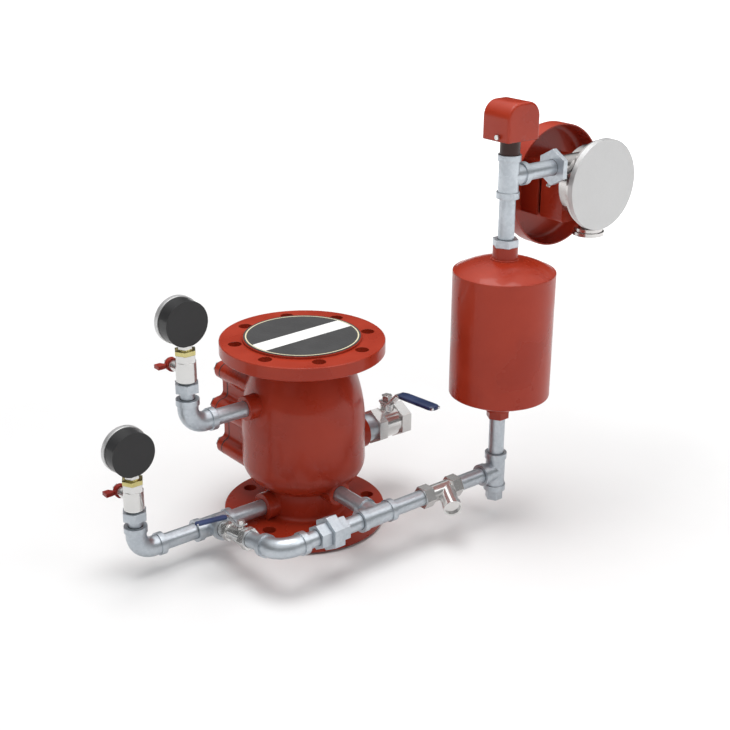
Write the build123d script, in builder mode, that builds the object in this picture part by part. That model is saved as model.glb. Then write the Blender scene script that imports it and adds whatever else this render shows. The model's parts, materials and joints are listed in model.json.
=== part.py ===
# Sprinkler alarm valve: a flanged alarm check valve with its trim, in millimetres.
# Frame: the origin is the centre of the inlet flange face, Z runs up the body axis,
# X runs along the alarm line to the retard column, Y points to the operator's side.
import os

from build123d import *

os.makedirs("parts", exist_ok=True)

# Main valve casting
body_height = 268
bore = 100
flange_diameter = 220
flange_thickness = 18
raised_face_diameter = 158
raised_face_height = 3
bolt_circle = 180
bolt_hole = 18
bolt_count = 8
neck_diameter = 112
neck_fillet = 6
bulge_round = 33.5
bulge_diameter = 167
bulge_bottom = 95
bulge_top = 147
shoulder_drop = 18
shoulder_diameter = 132
neck_flare = 146
edge_chamfer = 1
body_wall = 9
label_diameter = 155
label_thickness = 0.8

# Seat ring and clapper
seat_bottom = 70
seat_diameter = 124
seat_height = 20
seat_bore = 96
groove_inner = 104
groove_outer = 112
groove_depth = 7
lower_groove_outer = 118
lower_groove_depth = 4
groove_hole = 3.5
groove_holes = 12
hinge_offset = 61
hinge_rise = 12
hinge_pin = 8
hinge_pin_overhang = 2
hinge_room = 1.5
seat_pocket_lead = 8
seat_pocket_rise = 1
outlet_shoulder = 7
clapper_diameter = 108
clapper_thickness = 6
facing_thickness = 3.9
facing_gap = 0.1
facing_inset = 1
clapper_hub = 28
knuckle_gap = 0.2

# Hand hole
hole_width = 90
hole_height = 96
hole_corner = 12
hole_centre = 140
neck_reach = 98
cover_flange = 5
gasket_thickness = 2
cover_thickness = 11
cover_width = 106
cover_height = 136
cover_corner = 20
lobe_blend = 8
cover_bolt_places = [(53, 57), (61, 6), (54, -56)]
cover_lobe = 12.5
cover_bolt = 10
cover_bolt_clearance = 0.5
cover_pad_inset = 5
cover_pad_height = 3
bolt_hole_depth = 16
bolt_grip = 14

# Pipe and fittings
pipe = 21.3
pipe_bore = 16
fitting_body = 26.5
elbow_bend = 23
collar = 30
collar_length = 8
elbow_reach = 37
tee_reach = 28
alarm_tee_reach = 27
socket_depth = 13
engagement = 12
thread_gap = 0.05
seat_gap = 0.3
boss = 38
small_boss = 33
boss_root = 30

# Trim places
supply_z = 36.5
supply_boss_x = -70
supply_tee_x = -149
lower_gauge_x = -262
upper_line_z = 188
upper_boss_x = -94
upper_gauge_x = -178
alarm_y = -155
alarm_z = 66
alarm_tee_x = 1
alarm_boss_y = -79
alarm_passage = 7
alarm_riser = 6
alarm_drill = 53
port_depth = 36
column_x = 214

# Gauge columns, measured up from the elbow centre
bush_hex_start = 47
bush_hex = 11.5
bush_neck = 18
bush_flats = 28.5
cock_diameter = 26
cock_length = 28.8
cock_hex = 9.5
cock_flats = 24
nut_length = 5.5
nut_flats = 25
nut_lip = 1.7
nut_lip_diameter = 19
cock_ball = 15
cock_bore = 6
cock_stem = 6
cock_ball_height = 72
cock_tail = 14
cock_chamfer = 3
cock_neck = 13
cock_socket = 10
gauge_centre_height = 137.5
gauge_diameter = 59
gauge_back = -8.5
gauge_depth = 20
gauge_wall = 1.5
bezel_diameter = 61.5
bezel_depth = 8
gauge_shank_flats = 17
gauge_screw = 8
shank_entry = 0.5
movement_block = 13
movement_y = -4
movement_depth = 7
tube_radius = 20
tube_width = 2.5

# Test valve
test_valve_start = 34
test_valve_end = 92
test_ball = 16
test_ball_place = 73
test_hex = 12
test_flats = 22
test_end_flats = 26
test_neck = 19
test_barrel = 22.5
test_bore = 10
test_shoulder = 3
test_stem_nut = 9
test_lever_thickness = 2
test_lever_width = 9
test_sleeve_thickness = 5
test_sleeve_width = 12

# Main drain
drain_z = 103
drain_boss_x = 99
drain_boss = 48
drain_pipe = 33.7
drain_pipe_bore = 27
drain_shoulder = 38
drain_valve_x = 117
drain_valve_length = 57
drain_flats = 45
drain_ball = 35
drain_hex = 14
drain_barrel = 42
drain_socket = 7
drain_pipe_play = 0.5
drain_bore = 24
drain_face_step = 2
drain_stem_nut = 14
drain_lever_thickness = 3
drain_lever_width = 15
drain_sleeve_thickness = 7
drain_sleeve_width = 19
drain_boss_neck = 20
lever_seat = 4.2
stem_tip = 1

# Union, strainer and retard chamber
union_start = -95
union_end = -51.5
union_small_flats = 29
union_big_flats = 40
union_nut_start = -80
union_nut_end = -64
union_seat = 10
union_collar_inset = 2
union_gap = 0.2
strainer_start = 78
strainer_end = 142
strainer_flats = 27
strainer_barrel = 24
strainer_hex = 15
screen_diameter = 19
screen_start = 6
screen_end_gap = 5
screen_sheet = 0.8
chamber_diameter = 135
chamber_wall = 2.5
chamber_bottom = 185
chamber_top = 354
chamber_socket = 33
socket_break = 5
upper_tee_z = 480

# Pressure switch
switch_neck = 26
switch_neck_length = 20
switch_width = 55
switch_depth = 46.5
switch_height = 48
switch_corner = 20
switch_wall = 2
switch_bore = 8
switch_base_thickness = 4
switch_base_gap = 0.3
switch_base_corner = 3
switch_post_y = 9
switch_post_width = 28
switch_post_thickness = 4
switch_post_rise = 16
switch_roof = 1
microswitch_depth = 10
microswitch_height = 15
microswitch_y = 1.7
plunger_travel = 2

# Water motor and gong
motor_x = 372
motor_inlet_x = 299
motor_z = 449
gong_z = 433
motor_front = -168.7
motor_back = -141
motor_diameter = 98
motor_flange = 118
motor_flange_thickness = 6
motor_cover = 123
motor_cover_thickness = 8
wheel_diameter = 52
wheel_width = 14
blade_count = 12
quill = 14
spindle = 8
running_gap = 0.06
bracket_width = 80
bracket_height = 76
bracket_wall = 4
bracket_corner = 6
bracket_inner_corner = 3
bracket_base = 6
hub_base = 4
tube_wall = 4
bracket_screw_y = 16
bracket_screw_rise = 17
slot_front = -101
slot_back = -95
gong_diameter = 170
gong_front = -94
gong_back = -62
gong_wall = 2

# Small sizes of the inner pieces
lug_centre = 18
lug_thickness = 8
lug_width = 11
lug_round = 1
knuckle = 15
arm_width = 20
arm_thickness = 8
bolt_head = 6.5
bolt_flats = 17
cock_boss = 31
cock_wing = 21
cock_waist = 9
cock_wing_start = 13
cock_waist_half = 2
cock_hub = 18
cock_stem_nut = 12
cock_lever_hub = 6.5
cock_wing_depth = 11
cock_wing_thickness = 5
cock_stem_end = 44
gauge_tail = 9
pointer_arbor = 2
dial_hole_gap = 1.2
pointer_thickness = 0.9
pointer_cap = 6
pointer_tail = 8
pointer_reach = 22
pointer_tail_half = 1.2
pointer_tip_half = 0.4
pointer_arbor_gap = 1
shank_slot_play = 2.5
bush_step = 4
pointer_y = 9.5
dial_y = 8
dial_thickness = 0.8
window_diameter = 56
window_thickness = 1.5
bezel_lip = 1.5
test_stem = 6
test_stem_boss = 10
test_boss = 13
test_stem_end = 22
test_lever_path = [(-6, 16), (6, 16), (17, 33), (64, 37)]
test_grip = [(19, 33.2), (65, 37.1)]
drain_ball_offset = 30
drain_stem = 9
drain_stem_boss = 29
drain_stem_end = 42
drain_lever_path = [(-9, 31), (9, 31), (27, 51), (104, 56)]
drain_grip = [(29, 51.2), (105, 56.1)]
union_thread = 31
strainer_leg_x = 121
strainer_leg_way = (-0.4, -0.87, -0.28)
leg_diameter = 24
leg_length = 31
leg_cap = 26
cap_plug = 5
cap_plug_depth = 4.7
cap_flange = 7
cap_recess_depth = 3
cap_recess = 21
plug_hex = 14
plug_flats = 21
dome_rise = 17
dome_drop = 5
bottom_socket = 11
bottom_hex = 10
bottom_hex_flats = 27
top_socket = 17
top_bush_hex = 10
top_bush_flats = 30
bush_thread = 26
motor_nut_length = 7
motor_nut_flats = 42
diaphragm = 20
diaphragm_play = 0.4
diaphragm_thickness = 2
diaphragm_room = 6
plunger_rod = 6
switch_pin = 14
screw_offset = 7
screw_rise = 6
screw_shank = 3
screw_shank_length = 2
screw_head = 6.5
screw_head_height = 2.4
motor_wall = 6
wheel_play = 1.5
wheel_bite = 5
inlet_passage = 10
blade_thickness = 2
blade_root = 1
inlet_boss = 27
outlet_bottom = 377
outlet_collar = 43
outlet_rim = 5
outlet_tier = 39
outlet_pipe = 27
outlet_length = 22
nozzle = 5
wheel_y = -166
wheel_hub = 28
spindle_seat = 4
spindle_nut = 13
spindle_nut_height = 6
spindle_tip = 3
striker_hub = 24
striker_gap = 3.5
striker_arm = 8
striker_arm_thickness = 2.5
striker_head = 9
striker_length = 16
striker_play = 0.5
striker_corner = 6
counterweight_reach = 31
counterweight_width = 57
gong_corner = 10
X = (1, 0, 0)
Y = (0, 1, 0)
Z = (0, 0, 1)

# Derived places
upper_neck_bottom = body_height - raised_face_height - flange_thickness
shoulder_top = upper_neck_bottom - shoulder_drop
seat_top = seat_bottom + seat_height
hinge_z = seat_top + hinge_rise
hand_flange_front = neck_reach + cover_flange
cover_front = hand_flange_front + gasket_thickness + cover_thickness
tee_top = upper_tee_z + tee_reach
switch_bottom = tee_top + switch_neck_length
plunger_top = switch_bottom + switch_pin
striker_radius = gong_diameter / 2 - gong_wall - striker_gap - striker_head / 2
drain_end = drain_valve_x + drain_valve_length
clapper_bottom = seat_top + facing_gap + facing_thickness
cock_top = bush_hex_start + bush_hex + cock_length + cock_hex
gauge_front = gauge_back + gauge_depth
window_back = gauge_front + bezel_depth - bezel_lip - window_thickness


def save(piece, name):
    """Label a finished piece and write its file."""
    piece.label = name
    export_step(piece, f"parts/{name}.step")


def group(pieces):
    """Separate solids that share one node."""
    with BuildPart() as together:
        for piece in pieces:
            add(piece)
    return together.part


def along_x(x, y, z, sign=1):
    return Plane(origin=(x, y, z), x_dir=(0, 0, 1), z_dir=(sign, 0, 0))


def along_y(x, y, z, sign=1):
    return Plane(origin=(x, y, z), x_dir=(1, 0, 0), z_dir=(0, sign, 0))


def along_z(x, y, z, sign=1):
    return Plane(origin=(x, y, z), x_dir=(1, 0, 0), z_dir=(0, 0, sign))


def stack(plane, steps, hole=0):
    """Coaxial steps (shape, size, length) outward from the plane, drilled through."""
    with BuildPart() as piece:
        reach = 0
        for shape, size, length in steps:
            with BuildSketch(plane.offset(reach)):
                if shape == "hex":
                    RegularPolygon(size / 2, 6, major_radius=False)
                elif shape == "turned hex":
                    RegularPolygon(size / 2, 6, major_radius=False, rotation=30)
                else:
                    Circle(size / 2)
            extrude(amount=length)
            reach += length
        if hole:
            with BuildSketch(plane):
                Circle(hole / 2)
            extrude(amount=reach, mode=Mode.SUBTRACT)
    return piece.part


def nipple(plane, length):
    """Pipe that starts inside one fitting and ends inside the next."""
    return stack(plane.offset(-engagement), [("round", pipe, length + 2 * engagement)], pipe_bore)


def leg(plane, direction):
    """Plane on the same origin that looks out along one leg of a fitting."""
    return Plane(origin=plane.origin, x_dir=plane.z_dir, z_dir=direction)


def elbow(plane):
    """Ninety degree elbow on its corner, with legs along the plane's x and y."""
    bend = elbow_bend
    legs = [leg(plane, plane.x_dir), leg(plane, plane.y_dir)]
    corner = Axis(plane.from_local_coords((bend, bend, 0)), -plane.z_dir)
    with BuildPart() as piece:
        with BuildSketch(legs[0].offset(bend)):
            Circle(fitting_body / 2)
        revolve(axis=corner, revolution_arc=90)
        for way in legs:
            with BuildSketch(way.offset(bend)):
                Circle(fitting_body / 2)
            extrude(amount=elbow_reach - bend)
            with BuildSketch(way.offset(elbow_reach)):
                Circle(collar / 2)
            extrude(amount=-collar_length)
        with BuildSketch(legs[0].offset(bend)):
            Circle(pipe_bore / 2)
        revolve(axis=corner, revolution_arc=90, mode=Mode.SUBTRACT)
        for way in legs:
            with BuildSketch(way.offset(bend)):
                Circle(pipe_bore / 2)
            extrude(amount=elbow_reach - bend, mode=Mode.SUBTRACT)
            with BuildSketch(way.offset(elbow_reach)):
                Circle(pipe / 2 + thread_gap)
            extrude(amount=-socket_depth, mode=Mode.SUBTRACT)
    return piece.part


def tee(plane, reach):
    """Tee on its centre: run along the plane's x, branch along its y."""
    legs = [along_x(0, 0, 0), along_x(0, 0, 0, -1), along_y(0, 0, 0)]
    with BuildPart() as piece:
        for way in legs:
            with BuildSketch(way):
                Circle(fitting_body / 2)
            extrude(amount=reach)
            with BuildSketch(way.offset(reach)):
                Circle(collar / 2)
            extrude(amount=-collar_length)
        for way in legs:
            with BuildSketch(way):
                Circle(pipe_bore / 2)
            extrude(amount=reach, mode=Mode.SUBTRACT)
            with BuildSketch(way.offset(reach)):
                Circle(pipe / 2 + thread_gap)
            extrude(amount=-socket_depth, mode=Mode.SUBTRACT)
    return piece.part.located(plane.location)


def ball_housing(blank, centre, flow, stem_way, ball, hole, stem, boss_size, boss_height):
    """Adds the stem boss to a turned blank and cuts the seat of the ball and stem."""
    with BuildPart() as piece:
        add(blank)
        with BuildSketch(Plane(origin=centre, x_dir=flow, z_dir=stem_way)):
            Circle(boss_size / 2)
        extrude(amount=boss_height)
        with BuildSketch(Plane(origin=centre, x_dir=stem_way, z_dir=flow)):
            Circle(hole / 2)
        extrude(amount=3 * ball, both=True, mode=Mode.SUBTRACT)
        with Locations(centre):
            Sphere(ball / 2 + running_gap, mode=Mode.SUBTRACT)
        with BuildSketch(Plane(origin=centre, x_dir=flow, z_dir=stem_way)):
            Circle(stem / 2 + running_gap)
        extrude(amount=boss_height, mode=Mode.SUBTRACT)
    return piece.part


def ball_and_stem(centre, flow, stem_way, ball, hole, stem, height, nut_start, nut):
    """Ball shown closed, its stem, and the nut that holds the lever."""
    across = Vector(*flow).cross(Vector(*stem_way))
    with BuildPart() as piece:
        with Locations(centre):
            Sphere(ball / 2)
        with BuildSketch(Plane(origin=centre, x_dir=flow, z_dir=stem_way)):
            Circle(stem / 2)
        extrude(amount=height)
        with BuildSketch(Plane(origin=centre, x_dir=stem_way, z_dir=across)):
            Circle(hole / 2)
        extrude(amount=ball, both=True, mode=Mode.SUBTRACT)
        with BuildSketch(Plane(origin=centre, x_dir=flow, z_dir=stem_way).offset(nut_start)):
            RegularPolygon(nut / 2, 6, major_radius=False)
        extrude(amount=height - stem_tip - nut_start)
    return piece.part


def strip_lever(plane, path, thickness, width, stem):
    """Flat lever bent along the path: the plane's x is the lever, its y the stem."""
    with BuildPart() as piece:
        with BuildSketch(plane):
            with BuildLine():
                Polyline(*path)
            trace(line_width=thickness)
        extrude(amount=width / 2, both=True)
        with BuildSketch(Plane(origin=plane.origin, x_dir=plane.x_dir, z_dir=plane.y_dir)):
            Circle(stem / 2)
        extrude(amount=2 * path[0][1], mode=Mode.SUBTRACT)
    return piece.part


def sleeve(plane, start, end, thickness, width, core):
    """Round-ended grip from start to end, pushed over the lever."""
    low = plane.from_local_coords((*start, 0))
    high = plane.from_local_coords((*end, 0))
    run = high - low
    flat = Plane(origin=(low + high) / 2, x_dir=run, z_dir=run.cross(plane.z_dir))
    with BuildPart() as piece:
        with BuildSketch(flat):
            SlotOverall(run.length, width)
        extrude(amount=thickness / 2, both=True)
        add(core, mode=Mode.SUBTRACT)
    return piece.part


def lobed_plate(start, thickness):
    """Hand-hole plate with a lobe round each bolt, standing at y = start."""
    with BuildPart() as plate:
        with BuildSketch(along_y(0, start, hole_centre)):
            RectangleRounded(cover_width, cover_height, cover_corner)
            for across, rise in cover_bolt_places:
                with Locations((across, -rise), (-across, -rise)):
                    Circle(cover_lobe)
            offset(amount=lobe_blend)
            offset(amount=-lobe_blend)
        extrude(amount=thickness)
    return plate.part


# Valve body: revolved shell with flanges, then hand-hole neck and bosses
flange_top = raised_face_height + flange_thickness
bulge = bulge_diameter / 2
neck = neck_diameter / 2
flange = flange_diameter / 2
face = raised_face_diameter / 2
round_centre = bulge - bulge_round
fillet_run = neck + neck_fillet - round_centre
fillet_rise = ((bulge_round + neck_fillet) ** 2 - fillet_run**2) ** 0.5
touch = bulge_round / (bulge_round + neck_fillet)
touch_point = (round_centre + touch * fillet_run, bulge_bottom - touch * fillet_rise)
shoulder = shoulder_diameter / 2
supply_port = along_x(supply_boss_x, 0, supply_z)
upper_port = along_x(upper_boss_x, 0, upper_line_z)
alarm_port = along_y(alarm_tee_x, alarm_boss_y, alarm_z)
drain_port = along_x(drain_boss_x, 0, drain_z, -1)
lug_outer = lug_width / 2 + lug_round
pocket_half = lug_centre + lug_thickness / 2 + hinge_pin_overhang + hinge_room
pocket_back = hinge_offset + lug_outer + hinge_room
with BuildPart() as valve_body:
    with BuildSketch(Plane.XZ):
        with BuildLine():
            Polyline(
                (0, 0),
                (face, 0),
                (face, raised_face_height),
                (flange - edge_chamfer, raised_face_height),
                (flange, raised_face_height + edge_chamfer),
                (flange, flange_top - edge_chamfer),
                (flange - edge_chamfer, flange_top),
                (neck + neck_fillet, flange_top),
            )
            TangentArc((neck + neck_fillet, flange_top), (neck, flange_top + neck_fillet), tangent=(-1, 0))
            Line((neck, flange_top + neck_fillet), (neck, bulge_bottom - fillet_rise))
            TangentArc((neck, bulge_bottom - fillet_rise), touch_point, tangent=(0, 1))
            TangentArc((bulge, bulge_bottom), touch_point, tangent=(0, -1))
            Line((bulge, bulge_bottom), (bulge, bulge_top))
            TangentArc((bulge, bulge_top), (shoulder, shoulder_top), tangent=(0, 1))
            TangentArc((neck_flare / 2, upper_neck_bottom), (shoulder, shoulder_top), tangent=(-1, 0))
            Polyline(
                (neck_flare / 2, upper_neck_bottom),
                (flange - edge_chamfer, upper_neck_bottom),
                (flange, upper_neck_bottom + edge_chamfer),
                (flange, upper_neck_bottom + flange_thickness - edge_chamfer),
                (flange - edge_chamfer, upper_neck_bottom + flange_thickness),
                (face, upper_neck_bottom + flange_thickness),
                (face, body_height),
                (0, body_height),
                (0, 0),
            )
        make_face()
    revolve(axis=Axis.Z)
    add(lobed_plate(0, hand_flange_front))
    for plane, size in (
        (supply_port, boss),
        (upper_port, small_boss),
        (alarm_port, small_boss),
        (drain_port, drain_boss),
    ):
        with BuildSketch(plane):
            Circle(size / 2)
        extrude(amount=boss_root)
    inner = bulge - body_wall
    outlet_start = shoulder_top + outlet_shoulder
    with BuildSketch(Plane.XZ):
        with BuildLine():
            Polyline(
                (0, 0),
                (bore / 2, 0),
                (bore / 2, seat_bottom),
                (seat_diameter / 2 + thread_gap, seat_bottom),
                (seat_diameter / 2 + thread_gap, seat_top - seat_pocket_lead),
                (inner, seat_top - seat_pocket_rise),
                (inner, bulge_top),
            )
            TangentArc((inner, bulge_top), (bore / 2, outlet_start), tangent=(0, 1))
            Polyline((bore / 2, outlet_start), (bore / 2, body_height), (0, body_height), (0, 0))
        make_face()
    revolve(axis=Axis.Z, mode=Mode.SUBTRACT)
    with BuildSketch(Plane.XY.offset(seat_top)):
        with Locations((0, -pocket_back / 2)):
            Rectangle(2 * pocket_half, pocket_back)
    extrude(amount=hinge_rise + lug_outer + hinge_room, mode=Mode.SUBTRACT)
    with BuildSketch(along_y(0, 0, hole_centre)):
        RectangleRounded(hole_width, hole_height, hole_corner)
    extrude(amount=hand_flange_front, mode=Mode.SUBTRACT)
    for across, rise in cover_bolt_places:
        with BuildSketch(along_y(0, hand_flange_front, hole_centre, -1)):
            with Locations((across, rise), (-across, rise)):
                Circle(cover_bolt / 2 + thread_gap)
        extrude(amount=bolt_hole_depth, mode=Mode.SUBTRACT)
    for plane, thread, passage, reach in (
        (supply_port, pipe, pipe_bore, port_depth),
        (upper_port, pipe, pipe_bore, port_depth),
        (alarm_port, pipe, alarm_passage, -alarm_boss_y - alarm_drill),
        (drain_port, drain_pipe, drain_pipe_bore, port_depth),
    ):
        with BuildSketch(plane):
            Circle(thread / 2 + thread_gap)
        extrude(amount=socket_depth, mode=Mode.SUBTRACT)
        with BuildSketch(plane):
            Circle(passage / 2)
        extrude(amount=reach, mode=Mode.SUBTRACT)
    with BuildSketch(along_z(alarm_tee_x, -alarm_drill - alarm_passage / 2, alarm_z)):
        Circle(alarm_riser / 2)
    extrude(amount=seat_bottom - alarm_z, mode=Mode.SUBTRACT)
    for level in (raised_face_height, upper_neck_bottom):
        with BuildSketch(Plane.XY.offset(level)):
            with PolarLocations(bolt_circle / 2, bolt_count, start_angle=180 / bolt_count):
                Circle(bolt_hole / 2)
        extrude(amount=flange_thickness, mode=Mode.SUBTRACT)
save(valve_body.part, "valve_body")

# Seat ring with the alarm groove in its face and lugs for the clapper pin
with BuildPart() as seat_ring:
    with BuildSketch(Plane.XY.offset(seat_bottom)):
        Circle(seat_diameter / 2)
        Circle(seat_bore / 2, mode=Mode.SUBTRACT)
    extrude(amount=seat_height)
    with BuildSketch(Plane.XY.offset(seat_top)):
        Circle(groove_outer / 2)
        Circle(groove_inner / 2, mode=Mode.SUBTRACT)
    extrude(amount=-groove_depth, mode=Mode.SUBTRACT)
    with BuildSketch(Plane.XY.offset(seat_bottom)):
        Circle(lower_groove_outer / 2)
        Circle(groove_inner / 2, mode=Mode.SUBTRACT)
    extrude(amount=lower_groove_depth, mode=Mode.SUBTRACT)
    with BuildSketch(Plane.XY.offset(seat_bottom)):
        with PolarLocations((groove_inner + groove_outer) / 4, groove_holes):
            Circle(groove_hole / 2)
    extrude(amount=seat_height, mode=Mode.SUBTRACT)
    for side in (-1, 1):
        with BuildSketch(Plane.YZ.offset(side * lug_centre)):
            with Locations((-hinge_offset, hinge_z)):
                Circle(lug_outer)
            with Locations((-hinge_offset, seat_top + hinge_rise / 2)):
                Rectangle(lug_width, hinge_rise)
        extrude(amount=lug_thickness / 2, both=True)
    with BuildSketch(Plane.YZ):
        with Locations((-hinge_offset, hinge_z)):
            Circle(hinge_pin / 2 + thread_gap)
    extrude(amount=2 * lug_centre, both=True, mode=Mode.SUBTRACT)
save(seat_ring.part, "seat_ring")

# Clapper: disc, hub, arm and hinge knuckle
with BuildPart() as clapper:
    with BuildSketch(Plane.XY.offset(clapper_bottom)):
        Circle(clapper_diameter / 2)
    extrude(amount=clapper_thickness)
    with BuildSketch(Plane.XY.offset(clapper_bottom + clapper_thickness)):
        Circle(clapper_hub / 2)
        with Locations((0, -hinge_offset / 2)):
            Rectangle(arm_width, hinge_offset)
    extrude(amount=arm_thickness)
    with BuildSketch(Plane.YZ):
        with Locations((-hinge_offset, hinge_z)):
            Circle(knuckle / 2)
    extrude(amount=lug_centre - lug_thickness / 2 - knuckle_gap, both=True)
    with BuildSketch(Plane.YZ):
        with Locations((-hinge_offset, hinge_z)):
            Circle(hinge_pin / 2 + running_gap)
    extrude(amount=lug_centre, both=True, mode=Mode.SUBTRACT)
save(clapper.part, "clapper")

# Rubber facing under the clapper
clapper_facing = stack(
    along_z(0, 0, seat_top + facing_gap), [("round", clapper_diameter - 2 * facing_inset, facing_thickness)]
)
save(clapper_facing, "clapper_facing")

# Hinge pin through both lugs
pin_length = 2 * lug_centre + lug_thickness + 2 * hinge_pin_overhang
clapper_pin = stack(
    along_x(-pin_length / 2, -hinge_offset, hinge_z), [("round", hinge_pin, pin_length)]
)
save(clapper_pin, "clapper_pin")

# Hand-hole gasket and cover
with BuildPart() as handhole_gasket:
    add(lobed_plate(hand_flange_front, gasket_thickness))
    with BuildSketch(along_y(0, hand_flange_front, hole_centre)):
        RectangleRounded(hole_width, hole_height, hole_corner)
        for across, rise in cover_bolt_places:
            with Locations((across, -rise), (-across, -rise)):
                Circle(cover_bolt / 2 + cover_bolt_clearance)
    extrude(amount=gasket_thickness, mode=Mode.SUBTRACT)
save(handhole_gasket.part, "handhole_gasket")

with BuildPart() as handhole_cover:
    add(lobed_plate(cover_front - cover_thickness, cover_thickness))
    with BuildSketch(along_y(0, cover_front, hole_centre)):
        RectangleRounded(hole_width - 2 * cover_pad_inset, hole_height - 2 * cover_pad_inset, hole_corner)
    extrude(amount=cover_pad_height)
    with BuildSketch(along_y(0, cover_front - cover_thickness, hole_centre)):
        for across, rise in cover_bolt_places:
            with Locations((across, -rise), (-across, -rise)):
                Circle(cover_bolt / 2 + cover_bolt_clearance)
    extrude(amount=cover_thickness, mode=Mode.SUBTRACT)
save(handhole_cover.part, "handhole_cover")

# Six cover bolts
bolt_shank = cover_thickness + gasket_thickness + bolt_grip
cover_bolts = group(
    stack(
        along_y(side * across, cover_front + bolt_head, hole_centre + rise, -1),
        [("hex", bolt_flats, bolt_head), ("round", cover_bolt, bolt_shank)],
    )
    for across, rise in cover_bolt_places
    for side in (-1, 1)
)
save(cover_bolts, "cover_bolts")

# Printed disc that closes the outlet
outlet_disc = stack(along_z(0, 0, body_height), [("round", label_diameter, label_thickness)])
save(outlet_disc, "outlet_disc")

# Fittings of the supply, test and alarm lines
supply_centre = Vector(supply_tee_x, 0, supply_z)
alarm_corner = Vector(supply_tee_x, alarm_y, alarm_z)
branch_run = alarm_corner - supply_centre
branch = Plane(origin=supply_centre, x_dir=(1, 0, 0), z_dir=branch_run)
lower_elbow = elbow(Plane(origin=(lower_gauge_x, 0, supply_z), x_dir=(1, 0, 0), z_dir=(0, -1, 0)))
save(lower_elbow, "lower_elbow")
upper_elbow = elbow(Plane(origin=(upper_gauge_x, 0, upper_line_z), x_dir=(1, 0, 0), z_dir=(0, -1, 0)))
save(upper_elbow, "upper_elbow")
alarm_elbow = elbow(Plane(origin=alarm_corner, x_dir=(1, 0, 0), z_dir=branch.y_dir))
save(alarm_elbow, "alarm_elbow")
supply_tee = tee(Plane(origin=supply_centre, x_dir=(-1, 0, 0), z_dir=branch.y_dir), tee_reach)
save(supply_tee, "supply_tee")
alarm_tee = tee(
    Plane(origin=(alarm_tee_x, alarm_y, alarm_z), x_dir=(1, 0, 0), z_dir=(0, 0, 1)), alarm_tee_reach
)
save(alarm_tee, "alarm_tee")
column_tee = tee(
    Plane(origin=(column_x, alarm_y, alarm_z), x_dir=(0, 0, -1), z_dir=(0, 1, 0)), tee_reach
)
save(column_tee, "column_tee")
upper_tee = tee(
    Plane(origin=(column_x, alarm_y, upper_tee_z), x_dir=(0, 0, 1), z_dir=(0, 1, 0)), tee_reach
)
save(upper_tee, "upper_tee")

# Pipe nipples: (start plane on the fitting face, free length)
socket_bottom = chamber_bottom - dome_rise - bottom_socket - bottom_hex
bush_top = chamber_top + dome_rise + top_socket + top_bush_hex
supply_ends = (supply_tee_x - tee_reach, supply_tee_x + tee_reach)
alarm_start = supply_tee_x + elbow_reach
alarm_ends = (alarm_tee_x - alarm_tee_reach, alarm_tee_x + alarm_tee_reach)
column_ends = (column_x - tee_reach, column_x + tee_reach)
column_bottom = alarm_z + tee_reach
trim_nipples = group(
    nipple(start, length)
    for start, length in (
        (along_x(supply_boss_x, 0, supply_z, -1), supply_boss_x - supply_ends[1]),
        (along_x(supply_ends[0], 0, supply_z, -1), supply_ends[0] - lower_gauge_x - elbow_reach),
        (along_x(upper_boss_x, 0, upper_line_z, -1), upper_boss_x - upper_gauge_x - elbow_reach),
        (branch.offset(test_valve_end), branch_run.length - elbow_reach - test_valve_end),
        (along_x(alarm_start, alarm_y, alarm_z), union_start - alarm_start),
        (along_x(union_end, alarm_y, alarm_z), alarm_ends[0] - union_end),
        (along_x(alarm_ends[1], alarm_y, alarm_z), strainer_start - alarm_ends[1]),
        (along_x(strainer_end, alarm_y, alarm_z), column_ends[0] - strainer_end),
        (along_y(alarm_tee_x, alarm_boss_y, alarm_z, -1), alarm_boss_y - alarm_y - alarm_tee_reach),
        (along_z(column_x, alarm_y, column_bottom), socket_bottom - column_bottom),
        (along_z(column_x, alarm_y, bush_top), upper_tee_z - tee_reach - bush_top),
        (along_x(column_ends[1], alarm_y, upper_tee_z), motor_inlet_x - column_ends[1]),
    )
)
save(trim_nipples, "trim_nipples")


def hex_bush(x, base):
    """Reducing bush in the elbow, with the cock screwed into its hexagon."""
    neck = elbow_reach - engagement
    with BuildPart() as piece:
        add(
            stack(
                along_z(x, 0, base + neck),
                [
                    ("round", pipe, engagement),
                    ("round", bush_neck, bush_hex_start - elbow_reach),
                    ("hex", bush_flats, bush_hex),
                ],
                cock_tail - bush_step,
            )
        )
        with BuildSketch(along_z(x, 0, base + bush_hex_start + bush_hex)):
            Circle(cock_tail / 2 + thread_gap)
        extrude(amount=-socket_depth, mode=Mode.SUBTRACT)
    return piece.part


def cock_body(x, base):
    """Gauge cock body with its ball seat and the boss of its stem."""
    foot = base + bush_hex_start + bush_hex
    barrel = [("round", cock_diameter, cock_length), ("hex", cock_flats, cock_hex)]
    with BuildPart() as blank:
        add(stack(along_z(x, 0, foot), barrel))
        chamfer(blank.faces().sort_by(Axis.Z)[0].edges(), cock_chamfer)
        add(stack(along_z(x, 0, foot - engagement), [("round", cock_tail, 2 * engagement)]))
    housing = ball_housing(
        blank.part,
        (x, 0, base + cock_ball_height),
        Z,
        Y,
        cock_ball,
        cock_bore,
        cock_stem,
        cock_neck,
        cock_boss,
    )
    with BuildPart() as piece:
        add(housing)
        with BuildSketch(along_z(x, 0, base + cock_top)):
            Circle(cock_tail / 2 + thread_gap)
        extrude(amount=-cock_socket, mode=Mode.SUBTRACT)
    return piece.part


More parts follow.
